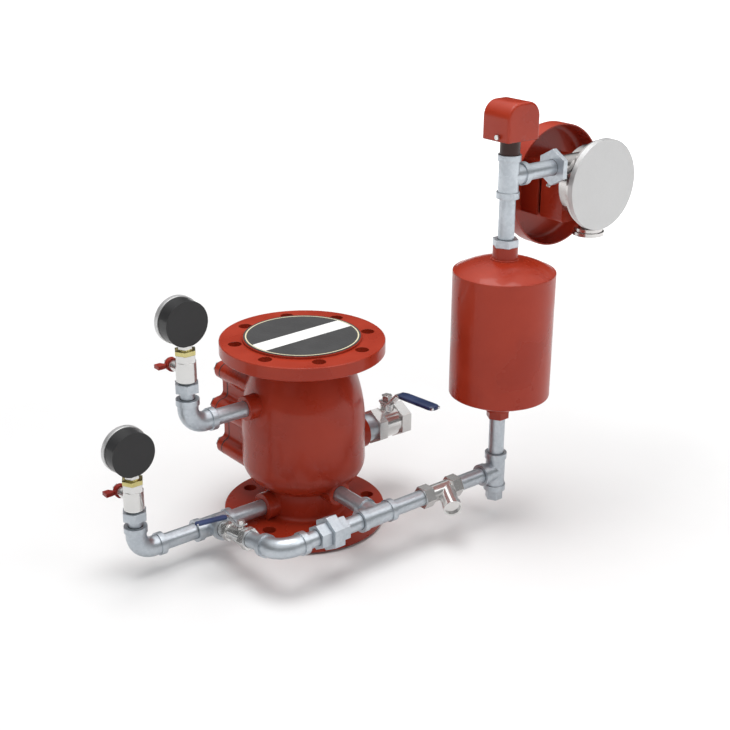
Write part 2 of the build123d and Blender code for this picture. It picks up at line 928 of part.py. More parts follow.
def cock_lever(x, base):
    """Two-winged lever on the cock stem, horizontal while the cock is closed."""
    middle = base + cock_ball_height
    start = cock_boss + seat_gap
    low = start + cock_lever_hub / 2 - cock_waist_half
    high = low + 2 * cock_waist_half
    with BuildPart() as piece:
        with BuildSketch(along_z(x, 0, middle)):
            for side in (-1, 1):
                with BuildLine():
                    Polyline(
                        (0, low),
                        (side * cock_waist, low),
                        (side * cock_wing_start, start),
                        (side * cock_wing, start),
                        (side * cock_wing, start + cock_wing_depth),
                        (side * cock_wing_start, start + cock_wing_depth),
                        (side * cock_waist, high),
                        (0, high),
                        (0, low),
                    )
                make_face()
        extrude(amount=cock_wing_thickness / 2, both=True)
        with BuildSketch(along_y(x, start, middle)):
            Circle(cock_hub / 2)
        extrude(amount=cock_lever_hub)
        with BuildSketch(along_y(x, start, middle)):
            Circle(cock_stem / 2)
        extrude(amount=cock_lever_hub, mode=Mode.SUBTRACT)
    return piece.part


def cock_nut(x, base):
    """Brass connection between cock and gauge."""
    top = base + cock_top
    return stack(
        along_z(x, 0, top - cock_hex),
        [
            ("round", cock_tail, cock_hex + seat_gap),
            ("hex", nut_flats, nut_length),
            ("round", nut_lip_diameter, nut_lip),
        ],
        gauge_tail + 2 * thread_gap,
    )


def gauge_stem(x, base):
    """Gauge shank with the bent pressure tube and the block that carries the pointer."""
    nut_top = base + cock_top + seat_gap + nut_length + nut_lip
    middle = base + gauge_centre_height
    case_bottom = middle - gauge_diameter / 2
    with BuildPart() as piece:
        add(
            stack(
                along_z(x, 0, nut_top - gauge_screw),
                [
                    ("round", gauge_tail, gauge_screw),
                    ("hex", gauge_shank_flats, case_bottom + shank_entry - nut_top),
                    ("round", gauge_tail, (gauge_diameter - movement_block) / 2),
                ],
            )
        )
        with BuildSketch(along_y(x, movement_y, middle)):
            Rectangle(movement_block, movement_block)
        extrude(amount=movement_depth)
        with BuildSketch(along_y(x, movement_y, middle)):
            Circle(tube_radius)
            Circle(tube_radius - tube_width, mode=Mode.SUBTRACT)
            with Locations((-movement_block, -movement_block)):
                Rectangle(2 * movement_block, 2 * movement_block, mode=Mode.SUBTRACT)
        extrude(amount=movement_depth)
        with BuildSketch(along_y(x, movement_y, middle)):
            Circle(pointer_arbor / 2 + running_gap)
        extrude(amount=movement_depth, mode=Mode.SUBTRACT)
    return piece.part


def gauge_case(x, base):
    """Round cup, open towards the dial."""
    middle = base + gauge_centre_height
    with BuildPart() as piece:
        with BuildSketch(along_y(x, gauge_back, middle)):
            Circle(gauge_diameter / 2)
        extrude(amount=gauge_depth)
        with BuildSketch(along_y(x, gauge_front, middle)):
            Circle(gauge_diameter / 2 - gauge_wall)
        extrude(amount=gauge_wall - gauge_depth, mode=Mode.SUBTRACT)
        with BuildSketch(along_z(x, 0, middle)):
            Circle(gauge_tail / 2 + thread_gap)
        extrude(amount=-gauge_diameter, mode=Mode.SUBTRACT)
        with BuildSketch(along_z(x, 0, middle - gauge_diameter / 2 + shank_entry)):
            Rectangle(gauge_shank_flats + 2 * shank_slot_play, 2 * gauge_depth)
        extrude(amount=-gauge_wall, mode=Mode.SUBTRACT)
    return piece.part


def gauge_dial(x, base):
    return stack(
        along_y(x, dial_y, base + gauge_centre_height),
        [("round", gauge_diameter - 2 * gauge_wall - 4 * thread_gap, dial_thickness)],
        pointer_arbor + dial_hole_gap,
    )


def gauge_pointer(x, base):
    """Needle at zero, low on the +X side, with its hub and arbor."""
    middle = base + gauge_centre_height
    with BuildPart() as piece:
        arbor_start = movement_y + pointer_arbor_gap
        add(stack(along_y(x, arbor_start, middle), [("round", pointer_arbor, pointer_y - arbor_start)]))
        with BuildSketch(Plane(origin=(x, pointer_y, middle), x_dir=(1, 0, -1), z_dir=(0, 1, 0))):
            with BuildLine():
                Polyline(
                    (-pointer_tail, -pointer_tail_half),
                    (pointer_reach, -pointer_tip_half),
                    (pointer_reach, pointer_tip_half),
                    (-pointer_tail, pointer_tail_half),
                    (-pointer_tail, -pointer_tail_half),
                )
            make_face()
            Circle(pointer_cap / 2)
        extrude(amount=pointer_thickness)
    return piece.part


def gauge_bezel(x, base):
    """Ring that holds the window."""
    middle = base + gauge_centre_height
    with BuildPart() as piece:
        with BuildSketch(along_y(x, gauge_front, middle)):
            Circle(bezel_diameter / 2)
            Circle(window_diameter / 2 + thread_gap, mode=Mode.SUBTRACT)
        extrude(amount=bezel_depth - bezel_lip)
        with BuildSketch(along_y(x, gauge_front + bezel_depth - bezel_lip, middle)):
            Circle(bezel_diameter / 2)
            Circle(window_diameter / 2 - bezel_lip, mode=Mode.SUBTRACT)
        extrude(amount=bezel_lip)
    return piece.part


def gauge_window(x, base):
    return stack(
        along_y(x, window_back, base + gauge_centre_height),
        [("round", window_diameter, window_thickness)],
    )


# Gauge columns: the two sides share the nodes of what doesn't move
gauge_places = {"lower": (lower_gauge_x, supply_z), "upper": (upper_gauge_x, upper_line_z)}
for name, make in (
    ("gauge_cock_bodies", cock_body),
    ("gauge_nuts", cock_nut),
    ("gauge_stems", gauge_stem),
    ("gauge_cases", gauge_case),
    ("gauge_dials", gauge_dial),
    ("gauge_bezels", gauge_bezel),
    ("gauge_windows", gauge_window),
):
    save(group(make(x, base) for x, base in gauge_places.values()), name)
for side, (x, base) in gauge_places.items():
    ball_centre = (x, 0, base + cock_ball_height)
    nut_start = cock_boss + 2 * seat_gap + cock_lever_hub
    ball = ball_and_stem(
        ball_centre, Z, Y, cock_ball, cock_bore, cock_stem, cock_stem_end, nut_start, cock_stem_nut
    )
    save(ball, f"{side}_cock_ball")
    save(cock_lever(x, base), f"{side}_cock_lever")
    save(gauge_pointer(x, base), f"{side}_pointer")

# Hex bushes: two under the gauge cocks, one on the retard chamber, one on the water motor
top_bush_z = chamber_top + dome_rise + top_socket
with BuildPart() as chamber_bush:
    add(
        stack(
            along_z(column_x, alarm_y, top_bush_z - engagement),
            [("round", bush_thread, engagement), ("hex", top_bush_flats, top_bush_hex)],
            pipe_bore,
        )
    )
    with BuildSketch(along_z(column_x, alarm_y, bush_top)):
        Circle(pipe / 2 + thread_gap)
    extrude(amount=-socket_depth, mode=Mode.SUBTRACT)
motor_nut = stack(
    along_x(motor_inlet_x - motor_nut_length, alarm_y, upper_tee_z),
    [("hex", motor_nut_flats, motor_nut_length)],
    pipe + 2 * thread_gap,
)
hex_bushes = group(
    [hex_bush(x, base) for x, base in gauge_places.values()] + [chamber_bush.part, motor_nut]
)
save(hex_bushes, "hex_bushes")

# Test valve between the supply tee and the alarm line, on the sloping branch
test_centre = branch.from_local_coords((0, 0, test_ball_place))
test_up = branch.y_dir
test_along = branch.z_dir
test_blank = stack(
    branch.offset(tee_reach - engagement),
    [
        ("round", pipe, test_valve_start - tee_reach + engagement),
        ("hex", test_flats, test_hex),
        ("round", test_neck, test_ball_place - test_valve_start - 2 * test_hex + test_shoulder),
        ("round", test_flats, test_hex - test_shoulder),
        ("round", test_barrel, test_valve_end - test_ball_place - test_hex),
        ("hex", test_end_flats, test_hex),
    ],
)
with BuildPart() as test_valve_body:
    add(
        ball_housing(
            test_blank,
            test_centre,
            test_along,
            test_up,
            test_ball,
            test_bore,
            test_stem,
            test_stem_boss,
            test_boss,
        )
    )
    with BuildSketch(branch.offset(test_valve_end)):
        Circle(pipe / 2 + thread_gap)
    extrude(amount=-socket_depth, mode=Mode.SUBTRACT)
save(test_valve_body.part, "test_valve_body")
test_ball_part = ball_and_stem(
    test_centre,
    test_along,
    test_up,
    test_ball,
    test_bore,
    test_stem,
    test_stem_end,
    test_boss + lever_seat,
    test_stem_nut,
)
save(test_ball_part, "test_valve_ball")
test_plane = Plane(origin=test_centre, x_dir=(-1, 0, 0), z_dir=Vector(-1, 0, 0).cross(test_up))
test_lever = strip_lever(
    test_plane, test_lever_path, test_lever_thickness, test_lever_width, test_stem
)
save(test_lever, "test_valve_lever")
test_sleeve = sleeve(test_plane, *test_grip, test_sleeve_thickness, test_sleeve_width, test_lever)
save(test_sleeve, "test_valve_sleeve")

# Main drain: shouldered nipple, ball valve, lever
drain_nipple = stack(
    along_x(drain_boss_x - engagement, 0, drain_z),
    [
        ("round", drain_pipe, engagement),
        ("round", drain_shoulder, drain_valve_x - drain_boss_x),
        ("round", drain_pipe, drain_socket),
    ],
    drain_pipe_bore,
)
save(drain_nipple, "drain_nipple")
drain_centre = (drain_valve_x + drain_ball_offset, 0, drain_z)
drain_blank = stack(
    along_x(drain_valve_x, 0, drain_z),
    [
        ("hex", drain_flats, drain_hex),
        ("round", drain_barrel, drain_valve_length - 2 * drain_hex - drain_face_step),
        ("hex", drain_flats, drain_hex + drain_face_step),
    ],
)
with BuildPart() as drain_valve_body:
    add(
        ball_housing(
            drain_blank,
            drain_centre,
            X,
            Z,
            drain_ball,
            drain_bore,
            drain_stem,
            drain_boss_neck,
            drain_stem_boss,
        )
    )
    for plane, depth in (
        (along_x(drain_valve_x, 0, drain_z), drain_socket + drain_pipe_play),
        (along_x(drain_end, 0, drain_z, -1), drain_socket),
    ):
        with BuildSketch(plane):
            Circle(drain_pipe / 2 + thread_gap)
        extrude(amount=depth, mode=Mode.SUBTRACT)
save(drain_valve_body.part, "drain_valve_body")
drain_ball_part = ball_and_stem(
    drain_centre,
    X,
    Z,
    drain_ball,
    drain_bore,
    drain_stem,
    drain_stem_end,
    drain_stem_boss + lever_seat,
    drain_stem_nut,
)
save(drain_ball_part, "drain_valve_ball")
drain_plane = Plane(origin=drain_centre, x_dir=(0, -1, 0), z_dir=(-1, 0, 0))
drain_lever = strip_lever(
    drain_plane, drain_lever_path, drain_lever_thickness, drain_lever_width, drain_stem
)
save(drain_lever, "drain_valve_lever")
drain_sleeve = sleeve(drain_plane, *drain_grip, drain_sleeve_thickness, drain_sleeve_width, drain_lever)
save(drain_sleeve, "drain_valve_sleeve")

# Union of the alarm line: two halves and the big nut over them
union_middle = union_nut_start + union_seat
union_collar = union_small_flats - union_collar_inset
with BuildPart() as union_tail:
    add(
        stack(
            along_x(union_start, alarm_y, alarm_z),
            [
                ("hex", union_small_flats, union_nut_start - union_start),
                ("round", union_collar, union_middle - union_nut_start),
            ],
            pipe_bore,
        )
    )
    with BuildSketch(along_x(union_start, alarm_y, alarm_z)):
        Circle(pipe / 2 + thread_gap)
    extrude(amount=socket_depth, mode=Mode.SUBTRACT)
with BuildPart() as union_head:
    add(
        stack(
            along_x(union_end, alarm_y, alarm_z, -1),
            [
                ("hex", union_small_flats, union_end - union_nut_end),
                ("round", union_thread, union_nut_end - union_middle - union_gap),
            ],
            pipe_bore,
        )
    )
    with BuildSketch(along_x(union_end, alarm_y, alarm_z, -1)):
        Circle(pipe / 2 + thread_gap)
    extrude(amount=socket_depth, mode=Mode.SUBTRACT)
save(group([union_tail.part, union_head.part]), "union_halves")
with BuildPart() as union_nut:
    nut_start = union_nut_start + seat_gap
    nut_end = union_nut_end - seat_gap
    add(
        stack(
            along_x(nut_start, alarm_y, alarm_z),
            [("hex", union_big_flats, nut_end - nut_start)],
            union_collar + 2 * thread_gap,
        )
    )
    with BuildSketch(along_x(nut_end, alarm_y, alarm_z, -1)):
        Circle(union_thread / 2 + thread_gap)
    extrude(amount=nut_end - union_middle, mode=Mode.SUBTRACT)
save(union_nut.part, "union_nut")

# Strainer: straight body with a slanting leg, screen and cap
leg_root = Vector(strainer_leg_x, alarm_y, alarm_z)
strainer_leg = Plane(origin=leg_root, x_dir=(0, 0, 1), z_dir=strainer_leg_way)
with BuildPart() as strainer_body:
    add(
        stack(
            along_x(strainer_start, alarm_y, alarm_z),
            [
                ("turned hex", strainer_flats, strainer_hex),
                ("round", strainer_barrel, strainer_end - strainer_start - 2 * strainer_hex),
                ("turned hex", strainer_flats, strainer_hex),
            ],
        )
    )
    with BuildSketch(strainer_leg):
        Circle(leg_diameter / 2)
    extrude(amount=leg_length)
    with BuildSketch(along_x(strainer_start, alarm_y, alarm_z)):
        Circle(pipe_bore / 2)
    extrude(amount=strainer_end - strainer_start, mode=Mode.SUBTRACT)
    with BuildSketch(strainer_leg):
        Circle(screen_diameter / 2 + running_gap)
    extrude(amount=leg_length, mode=Mode.SUBTRACT)
    for plane in (
        along_x(strainer_start, alarm_y, alarm_z),
        along_x(strainer_end, alarm_y, alarm_z, -1),
    ):
        with BuildSketch(plane):
            Circle(pipe / 2 + thread_gap)
        extrude(amount=socket_depth, mode=Mode.SUBTRACT)
save(strainer_body.part, "strainer_body")
strainer_screen = stack(
    strainer_leg.offset(screen_start),
    [("round", screen_diameter, leg_length - screen_start - screen_end_gap)],
    screen_diameter - 2 * screen_sheet,
)
save(strainer_screen, "strainer_screen")
with BuildPart() as strainer_cap:
    add(
        stack(
            strainer_leg.offset(leg_length - cap_plug_depth),
            [("round", screen_diameter, cap_plug), ("round", leg_cap, cap_flange)],
        )
    )
    with BuildSketch(strainer_leg.offset(leg_length - cap_plug_depth + cap_plug + cap_flange)):
        Circle(cap_recess / 2)
    extrude(amount=-cap_recess_depth, mode=Mode.SUBTRACT)
save(strainer_cap.part, "strainer_cap")

# Drain plug under the column tee
column_plug = stack(
    along_z(column_x, alarm_y, alarm_z - tee_reach - plug_hex),
    [("hex", plug_flats, plug_hex), ("round", pipe, engagement)],
)
save(column_plug, "column_plug")

# Retard chamber: welded shell with shallow cones, a hexagon socket below and a round one above
socket = chamber_socket / 2
shell = chamber_diameter / 2
halfway = (socket + shell) / 2
low_dome = chamber_bottom - dome_rise
high_dome = chamber_top + dome_rise
with BuildPart() as retard_chamber:
    with BuildSketch(Plane(origin=(column_x, alarm_y, 0), x_dir=(1, 0, 0), z_dir=(0, -1, 0))):
        with BuildLine():
            Polyline(
                (socket, low_dome),
                (socket, socket_bottom + bottom_hex),
                (0, socket_bottom + bottom_hex),
                (0, top_bush_z),
                (socket, top_bush_z),
                (socket, high_dome),
            )
            ThreePointArc((socket, high_dome), (halfway, high_dome - dome_drop), (shell, chamber_top))
            Line((shell, chamber_top), (shell, chamber_bottom))
            ThreePointArc((shell, chamber_bottom), (halfway, low_dome + dome_drop), (socket, low_dome))
        make_face()
        with BuildLine():
            Polyline(
                (socket, low_dome + chamber_wall),
                (0, low_dome + chamber_wall),
                (0, high_dome - chamber_wall),
                (socket, high_dome - chamber_wall),
            )
            ThreePointArc(
                (socket, high_dome - chamber_wall),
                (halfway, high_dome - dome_drop - chamber_wall),
                (shell - chamber_wall, chamber_top - chamber_wall / 2),
            )
            Line(
                (shell - chamber_wall, chamber_top - chamber_wall / 2),
                (shell - chamber_wall, chamber_bottom + chamber_wall / 2),
            )
            ThreePointArc(
                (shell - chamber_wall, chamber_bottom + chamber_wall / 2),
                (halfway, low_dome + dome_drop + chamber_wall),
                (socket, low_dome + chamber_wall),
            )
        make_face(mode=Mode.SUBTRACT)
    revolve(axis=Axis((column_x, alarm_y, 0), (0, 0, 1)))
    add(
        stack(
            along_z(column_x, alarm_y, socket_bottom),
            [("hex", bottom_hex_flats, bottom_hex)],
        )
    )
    with BuildSketch(along_z(column_x, alarm_y, socket_bottom)):
        Circle(pipe / 2 + thread_gap)
    extrude(amount=socket_depth, mode=Mode.SUBTRACT)
    with BuildSketch(along_z(column_x, alarm_y, socket_bottom)):
        Circle(pipe_bore / 2)
    extrude(amount=bottom_hex + bottom_socket + socket_break, mode=Mode.SUBTRACT)
    with BuildSketch(along_z(column_x, alarm_y, top_bush_z)):
        Circle(bush_thread / 2 + thread_gap)
    extrude(amount=-top_socket - socket_break, mode=Mode.SUBTRACT)
save(retard_chamber.part, "retard_chamber")

# Pressure switch: base with the diaphragm chamber, plunger, microswitch and arched cover
base_top = switch_bottom + switch_base_thickness
base_inset = 2 * (switch_wall + switch_base_gap)
with BuildPart() as switch_base:
    add(
        stack(
            along_z(column_x, alarm_y, tee_top - engagement),
            [("round", pipe, engagement), ("round", switch_neck, switch_bottom - tee_top)],
            switch_bore,
        )
    )
    with BuildSketch(along_z(column_x, alarm_y, switch_bottom)):
        RectangleRounded(switch_width - base_inset, switch_depth - base_inset, switch_base_corner)
    extrude(amount=base_top - switch_bottom)
    with BuildSketch(along_z(column_x, alarm_y, switch_bottom + switch_roof)):
        Circle(diaphragm / 2 + diaphragm_play)
    extrude(amount=-diaphragm_room, mode=Mode.SUBTRACT)
    with BuildSketch(along_z(column_x, alarm_y, switch_bottom)):
        Circle(plunger_rod / 2 + running_gap)
    extrude(amount=base_top - switch_bottom, mode=Mode.SUBTRACT)
    with BuildSketch(along_z(column_x, alarm_y + switch_post_y, base_top)):
        Rectangle(switch_post_width, switch_post_thickness)
    extrude(amount=plunger_top - base_top + switch_post_rise)
save(switch_base.part, "switch_base")
plunger_foot = switch_bottom + switch_roof - diaphragm_room + seat_gap
switch_plunger = stack(
    along_z(column_x, alarm_y, plunger_foot),
    [
        ("round", diaphragm, diaphragm_thickness),
        ("round", plunger_rod, plunger_top - plunger_foot - diaphragm_thickness),
    ],
)
save(switch_plunger, "switch_plunger")
with BuildPart() as microswitch:
    with BuildSketch(along_z(column_x, alarm_y + microswitch_y, plunger_top + plunger_travel + seat_gap)):
        Rectangle(switch_post_width, microswitch_depth)
    extrude(amount=microswitch_height)
save(microswitch.part, "microswitch")
with BuildPart() as switch_cover:
    for shrink, mode in ((0, Mode.ADD), (switch_wall, Mode.SUBTRACT)):
        half = switch_width / 2 - shrink
        top = switch_bottom + switch_height - shrink
        bend = switch_corner - shrink
        arch = Plane(origin=(column_x, alarm_y, 0), x_dir=(1, 0, 0), z_dir=(0, -1, 0))
        with BuildSketch(arch):
            with BuildLine():
                Line((-half, switch_bottom), (half, switch_bottom))
                Line((half, switch_bottom), (half, top - bend))
                ThreePointArc((half, top - bend), (half - 0.4 * bend, top - 0.2 * bend), (half - bend, top))
                Line((half - bend, top), (bend - half, top))
                ThreePointArc((bend - half, top), (0.4 * bend - half, top - 0.2 * bend), (-half, top - bend))
                Line((-half, top - bend), (-half, switch_bottom))
            make_face()
        extrude(amount=switch_depth / 2 - shrink, both=True, mode=mode)
save(switch_cover.part, "switch_cover")

# Small round-headed screws: two in the switch cover, one in the gong bracket
screw_out = switch_width / 2 + seat_gap
trim_screws = group(
    stack(plane, [("round", screw_shank, screw_shank_length), ("round", screw_head, screw_head_height)])
    for plane in (
        along_x(column_x - screw_out, alarm_y - screw_offset, switch_bottom + screw_rise, -1),
        along_x(column_x + screw_out, alarm_y - screw_offset, switch_bottom + screw_rise),
        along_x(
            motor_x - bracket_width / 2 - seat_gap,
            motor_back + bracket_screw_y,
            gong_z + bracket_screw_rise,
            -1,
        ),
    )
)
save(trim_screws, "trim_screws")

# Water motor housing: flanged drum with the wheel chamber, inlet with its nozzle, outlet below
chamber_depth = motor_back - motor_wall - motor_front
with BuildPart() as motor_housing:
    add(
        stack(
            along_y(motor_x, motor_front, motor_z),
            [
                ("round", motor_flange, motor_flange_thickness),
                ("round", motor_diameter, motor_back - motor_front - motor_flange_thickness),
            ],
        )
    )
    with BuildSketch(along_x(motor_inlet_x, alarm_y, upper_tee_z)):
        Circle(inlet_boss / 2)
    extrude(amount=motor_x - motor_inlet_x)
    add(
        stack(
            along_z(motor_x, alarm_y, outlet_bottom),
            [
                ("round", outlet_collar, outlet_rim),
                ("round", outlet_tier, outlet_rim),
                ("round", outlet_pipe, outlet_length),
            ],
        )
    )
    with BuildSketch(along_y(motor_x, motor_front, gong_z)):
        Circle(wheel_diameter / 2 + wheel_play)
    extrude(amount=chamber_depth, mode=Mode.SUBTRACT)
    with BuildSketch(along_y(motor_x, motor_front, gong_z)):
        Circle(quill / 2 + running_gap)
    extrude(amount=motor_back - motor_front, mode=Mode.SUBTRACT)
    with BuildSketch(along_z(motor_x, alarm_y, outlet_bottom)):
        Circle(pipe_bore / 2)
    extrude(amount=gong_z - outlet_bottom - wheel_diameter / 2 + wheel_bite, mode=Mode.SUBTRACT)
    for plane in (
        along_z(motor_x, alarm_y, outlet_bottom),
        along_x(motor_inlet_x, alarm_y, upper_tee_z),
    ):
        with BuildSketch(plane):
            Circle(pipe / 2 + thread_gap)
        extrude(amount=socket_depth, mode=Mode.SUBTRACT)
    nozzle_x = motor_x - wheel_diameter / 2 + wheel_bite
    with BuildSketch(along_x(motor_inlet_x, alarm_y, upper_tee_z)):
        Circle(inlet_passage / 2)
    extrude(amount=nozzle_x - motor_inlet_x + inlet_passage / 2, mode=Mode.SUBTRACT)
    with BuildSketch(along_z(nozzle_x, wheel_y + wheel_width / 2, upper_tee_z, -1)):
        Circle(nozzle / 2)
    extrude(amount=upper_tee_z - gong_z, mode=Mode.SUBTRACT)
save(motor_housing.part, "motor_housing")

# Round plate over the wheel chamber, with the seat of the spindle
with BuildPart() as motor_plate:
    with BuildSketch(along_y(motor_x, motor_front, motor_z, -1)):
        Circle(motor_cover / 2)
    extrude(amount=motor_cover_thickness)
    with BuildSketch(along_y(motor_x, motor_front, gong_z, -1)):
        Circle(spindle / 2 + thread_gap)
    extrude(amount=spindle_seat, mode=Mode.SUBTRACT)
save(motor_plate.part, "motor_plate")

# Water wheel on its hollow shaft
with BuildPart() as turbine_wheel:
    with BuildSketch(along_y(motor_x, wheel_y, gong_z)):
        Circle(wheel_hub / 2)
        with PolarLocations((wheel_hub + wheel_diameter) / 4, blade_count):
            Rectangle((wheel_diameter - wheel_hub) / 2 + 2 * blade_root, blade_thickness)
    extrude(amount=wheel_width)
    with BuildSketch(along_y(motor_x, wheel_y, gong_z)):
        Circle(quill / 2)
    extrude(amount=slot_back - striker_play - wheel_y)
    with BuildSketch(along_y(motor_x, wheel_y, gong_z)):
        Circle(spindle / 2 + running_gap)
    extrude(amount=slot_back - wheel_y, mode=Mode.SUBTRACT)
save(turbine_wheel.part, "turbine_wheel")

# Striker: counterweight and arm in the slot, its head standing inside the gong
striker_front = slot_front + striker_play
striker_thickness = slot_back - slot_front - 2 * striker_play
with BuildPart() as striker:
    with BuildSketch(along_y(motor_x, striker_front, gong_z)):
        Circle(striker_hub / 2)
        with Locations((-counterweight_reach / 2, 0)):
            RectangleRounded(counterweight_reach, counterweight_width, striker_corner)
    extrude(amount=striker_thickness)
    with BuildSketch(along_y(motor_x, striker_front, gong_z)):
        with Locations((striker_radius / 2, 0)):
            Rectangle(striker_radius, striker_arm)
        with Locations((striker_radius, 0)):
            Circle(striker_head / 2)
    extrude(amount=striker_arm_thickness)
    with BuildSketch(along_y(motor_x + striker_radius, striker_front, gong_z)):
        Circle(striker_head / 2)
    extrude(amount=striker_length)
    with BuildSketch(along_y(motor_x, striker_front, gong_z)):
        Circle(quill / 2)
    extrude(amount=striker_thickness, mode=Mode.SUBTRACT)
save(striker.part, "striker")


def hollow_block(plane, depth, base, tube, hole):
    """Box open at its far end, with a base on the plane and a tube round the axis."""
    with BuildPart() as piece:
        with BuildSketch(plane):
            RectangleRounded(bracket_width, bracket_height, bracket_corner)
        extrude(amount=depth)
        with BuildSketch(plane.offset(base)):
            RectangleRounded(
                bracket_width - 2 * bracket_wall, bracket_height - 2 * bracket_wall, bracket_inner_corner
            )
            Circle(tube / 2, mode=Mode.SUBTRACT)
        extrude(amount=depth - base, mode=Mode.SUBTRACT)
        with BuildSketch(plane):
            Circle(hole / 2)
        extrude(amount=depth, mode=Mode.SUBTRACT)
    return piece.part


# Gong bracket in two blocks with the striker's slot between them
gong_bracket = hollow_block(
    along_y(motor_x, motor_back, gong_z),
    slot_front - motor_back,
    bracket_base,
    quill + 2 * tube_wall,
    quill + 2 * running_gap,
)
save(gong_bracket, "gong_bracket")
gong_hub = hollow_block(
    along_y(motor_x, gong_back - gong_wall, gong_z, -1),
    gong_back - gong_wall - slot_back,
    hub_base,
    spindle + 2 * tube_wall,
    spindle + 2 * thread_gap,
)
save(gong_hub, "gong_hub")

# Fixed spindle with the nut that holds the gong
gong_spindle = stack(
    along_y(motor_x, motor_front - spindle_seat, gong_z),
    [
        ("round", spindle, gong_back - motor_front + spindle_seat),
        ("hex", spindle_nut, spindle_nut_height),
        ("round", spindle, spindle_tip),
    ],
)
save(gong_spindle, "gong_spindle")

# Gong: round dish open towards the motor
with BuildPart() as gong:
    for shrink, mode in ((0, Mode.ADD), (gong_wall, Mode.SUBTRACT)):
        rim = gong_diameter / 2 - shrink
        back = gong_back - shrink
        bend = gong_corner - shrink
        with BuildSketch(Plane.XY.offset(gong_z)):
            with BuildLine():
                Line((motor_x, gong_front), (motor_x + rim, gong_front))
                Line((motor_x + rim, gong_front), (motor_x + rim, back - bend))
                TangentArc(
                    (motor_x + rim, back - bend), (motor_x + rim - bend, back), tangent=(0, 1)
                )
                Line((motor_x + rim - bend, back), (motor_x, back))
                Line((motor_x, back), (motor_x, gong_front))
            make_face()
        revolve(axis=Axis((motor_x, 0, gong_z), (0, 1, 0)), mode=mode)
    with BuildSketch(along_y(motor_x, gong_back, gong_z, -1)):
        Circle(spindle / 2 + thread_gap)
    extrude(amount=gong_wall, mode=Mode.SUBTRACT)
save(gong.part, "gong")
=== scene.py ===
"""Looks of the sprinkler alarm valve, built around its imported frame. Pieces are drawn in millimetres
until build() turns them into metres. Camera, materials, floor and lamps are in metres."""

import json
import math

import bmesh
import bpy
import numpy as np
from mathutils import Matrix, Vector


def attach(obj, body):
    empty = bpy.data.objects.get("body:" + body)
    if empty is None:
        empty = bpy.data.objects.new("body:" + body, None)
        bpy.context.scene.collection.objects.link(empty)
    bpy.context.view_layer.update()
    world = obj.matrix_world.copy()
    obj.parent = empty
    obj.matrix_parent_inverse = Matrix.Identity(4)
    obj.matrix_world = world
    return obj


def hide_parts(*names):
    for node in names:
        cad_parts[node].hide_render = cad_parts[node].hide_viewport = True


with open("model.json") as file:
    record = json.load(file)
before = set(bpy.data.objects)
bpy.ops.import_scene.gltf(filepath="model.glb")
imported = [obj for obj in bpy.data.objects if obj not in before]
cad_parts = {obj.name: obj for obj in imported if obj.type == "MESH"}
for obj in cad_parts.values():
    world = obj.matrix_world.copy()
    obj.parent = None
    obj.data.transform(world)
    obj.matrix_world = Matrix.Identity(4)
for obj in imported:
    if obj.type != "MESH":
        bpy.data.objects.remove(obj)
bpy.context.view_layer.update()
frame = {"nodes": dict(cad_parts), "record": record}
nodes = frame["nodes"]

# The photograph's camera
PICTURE = 730
FOCAL_PIXELS = 1287.343
AZIMUTH = math.radians(-38.861)
ELEVATION = math.radians(21.72)
ROLL = math.radians(0.313)
CAMERA_PLACE = Vector((-0.93338, -1.29068, 0.86025))

# Lines and fittings, the same as in the part's source
PIPE = 21.3
SUPPLY_Z = 36.5
UPPER_LINE_Z = 188.0
BRANCH_X = -149.0
ALARM_Y = -155.0
ALARM_Z = 66.0
MOTOR_LINE_Z = 480.0

# Gauges
LOWER_GAUGE_X = -262.0
UPPER_GAUGE_X = -178.0
BUSH_RISE = 37.0
BUSH_NECK_RADIUS = 9.2
GAUGE_RISE = 137.5
DIAL_FRONT = 8.8
GAUGE_FRONT = 11.5
SCALE_START = -135.0
SCALE_SWEEP = 270.0
SCALE_TOP = 16

# Retard column, pressure switch, water motor and hand-hole cover
COLUMN_X = 214.0
CHAMBER_RADIUS = 67.5
CHAMBER_BOTTOM = 185.0
CHAMBER_TOP = 354.0
DOME_RISE = 17.0
SOCKET_RADIUS = 16.5
TEE_TOP = 508.0
SWITCH_BOTTOM = 528.0
MOTOR_X = 372.0
GONG_Z = 433.0
GONG_RIM_Y = -93.2
GONG_RIM_RADIUS = 83.9
COVER_FRONT = 116.0
COVER_Z = 140.0

# Directions
ALONG_X = (1, 0, 0)
ALONG_Y = (0, 1, 0)
ALONG_Z = (0, 0, 1)


def photograph_camera():
    """Camera at the photograph's angle: its axes come from azimuth, elevation and roll."""
    data = bpy.data.cameras.new("camera")
    data.sensor_width = 36
    data.lens = FOCAL_PIXELS / PICTURE * data.sensor_width
    data.clip_end = 30
    camera = bpy.data.objects.new("camera", data)
    bpy.context.scene.collection.objects.link(camera)
    back = Vector(
        (
            math.sin(AZIMUTH) * math.cos(ELEVATION),
            -math.cos(AZIMUTH) * math.cos(ELEVATION),
            math.sin(ELEVATION),
        )
    )
    level = (-back).cross(Vector((0, 0, 1))).normalized()
    rise = level.cross(-back)
    right = math.cos(ROLL) * level + math.sin(ROLL) * rise
    up = math.cos(ROLL) * rise - math.sin(ROLL) * level
    turn = Matrix((right, up, back)).transposed().to_4x4()
    camera.matrix_world = Matrix.Translation(CAMERA_PLACE) @ turn
    bpy.context.scene.camera = camera


photograph_camera()
bpy.context.scene.view_settings.view_transform = "Standard"


# Nodes that the materials are made of
def feed(tree, socket, value):
    """Socket gets a plain number, a colour triple, or a link from another socket."""
    if isinstance(value, tuple):
        socket.default_value = (*value, 1)
    elif isinstance(value, (int, float)):
        socket.default_value = value
    else:
        tree.links.new(value, socket)


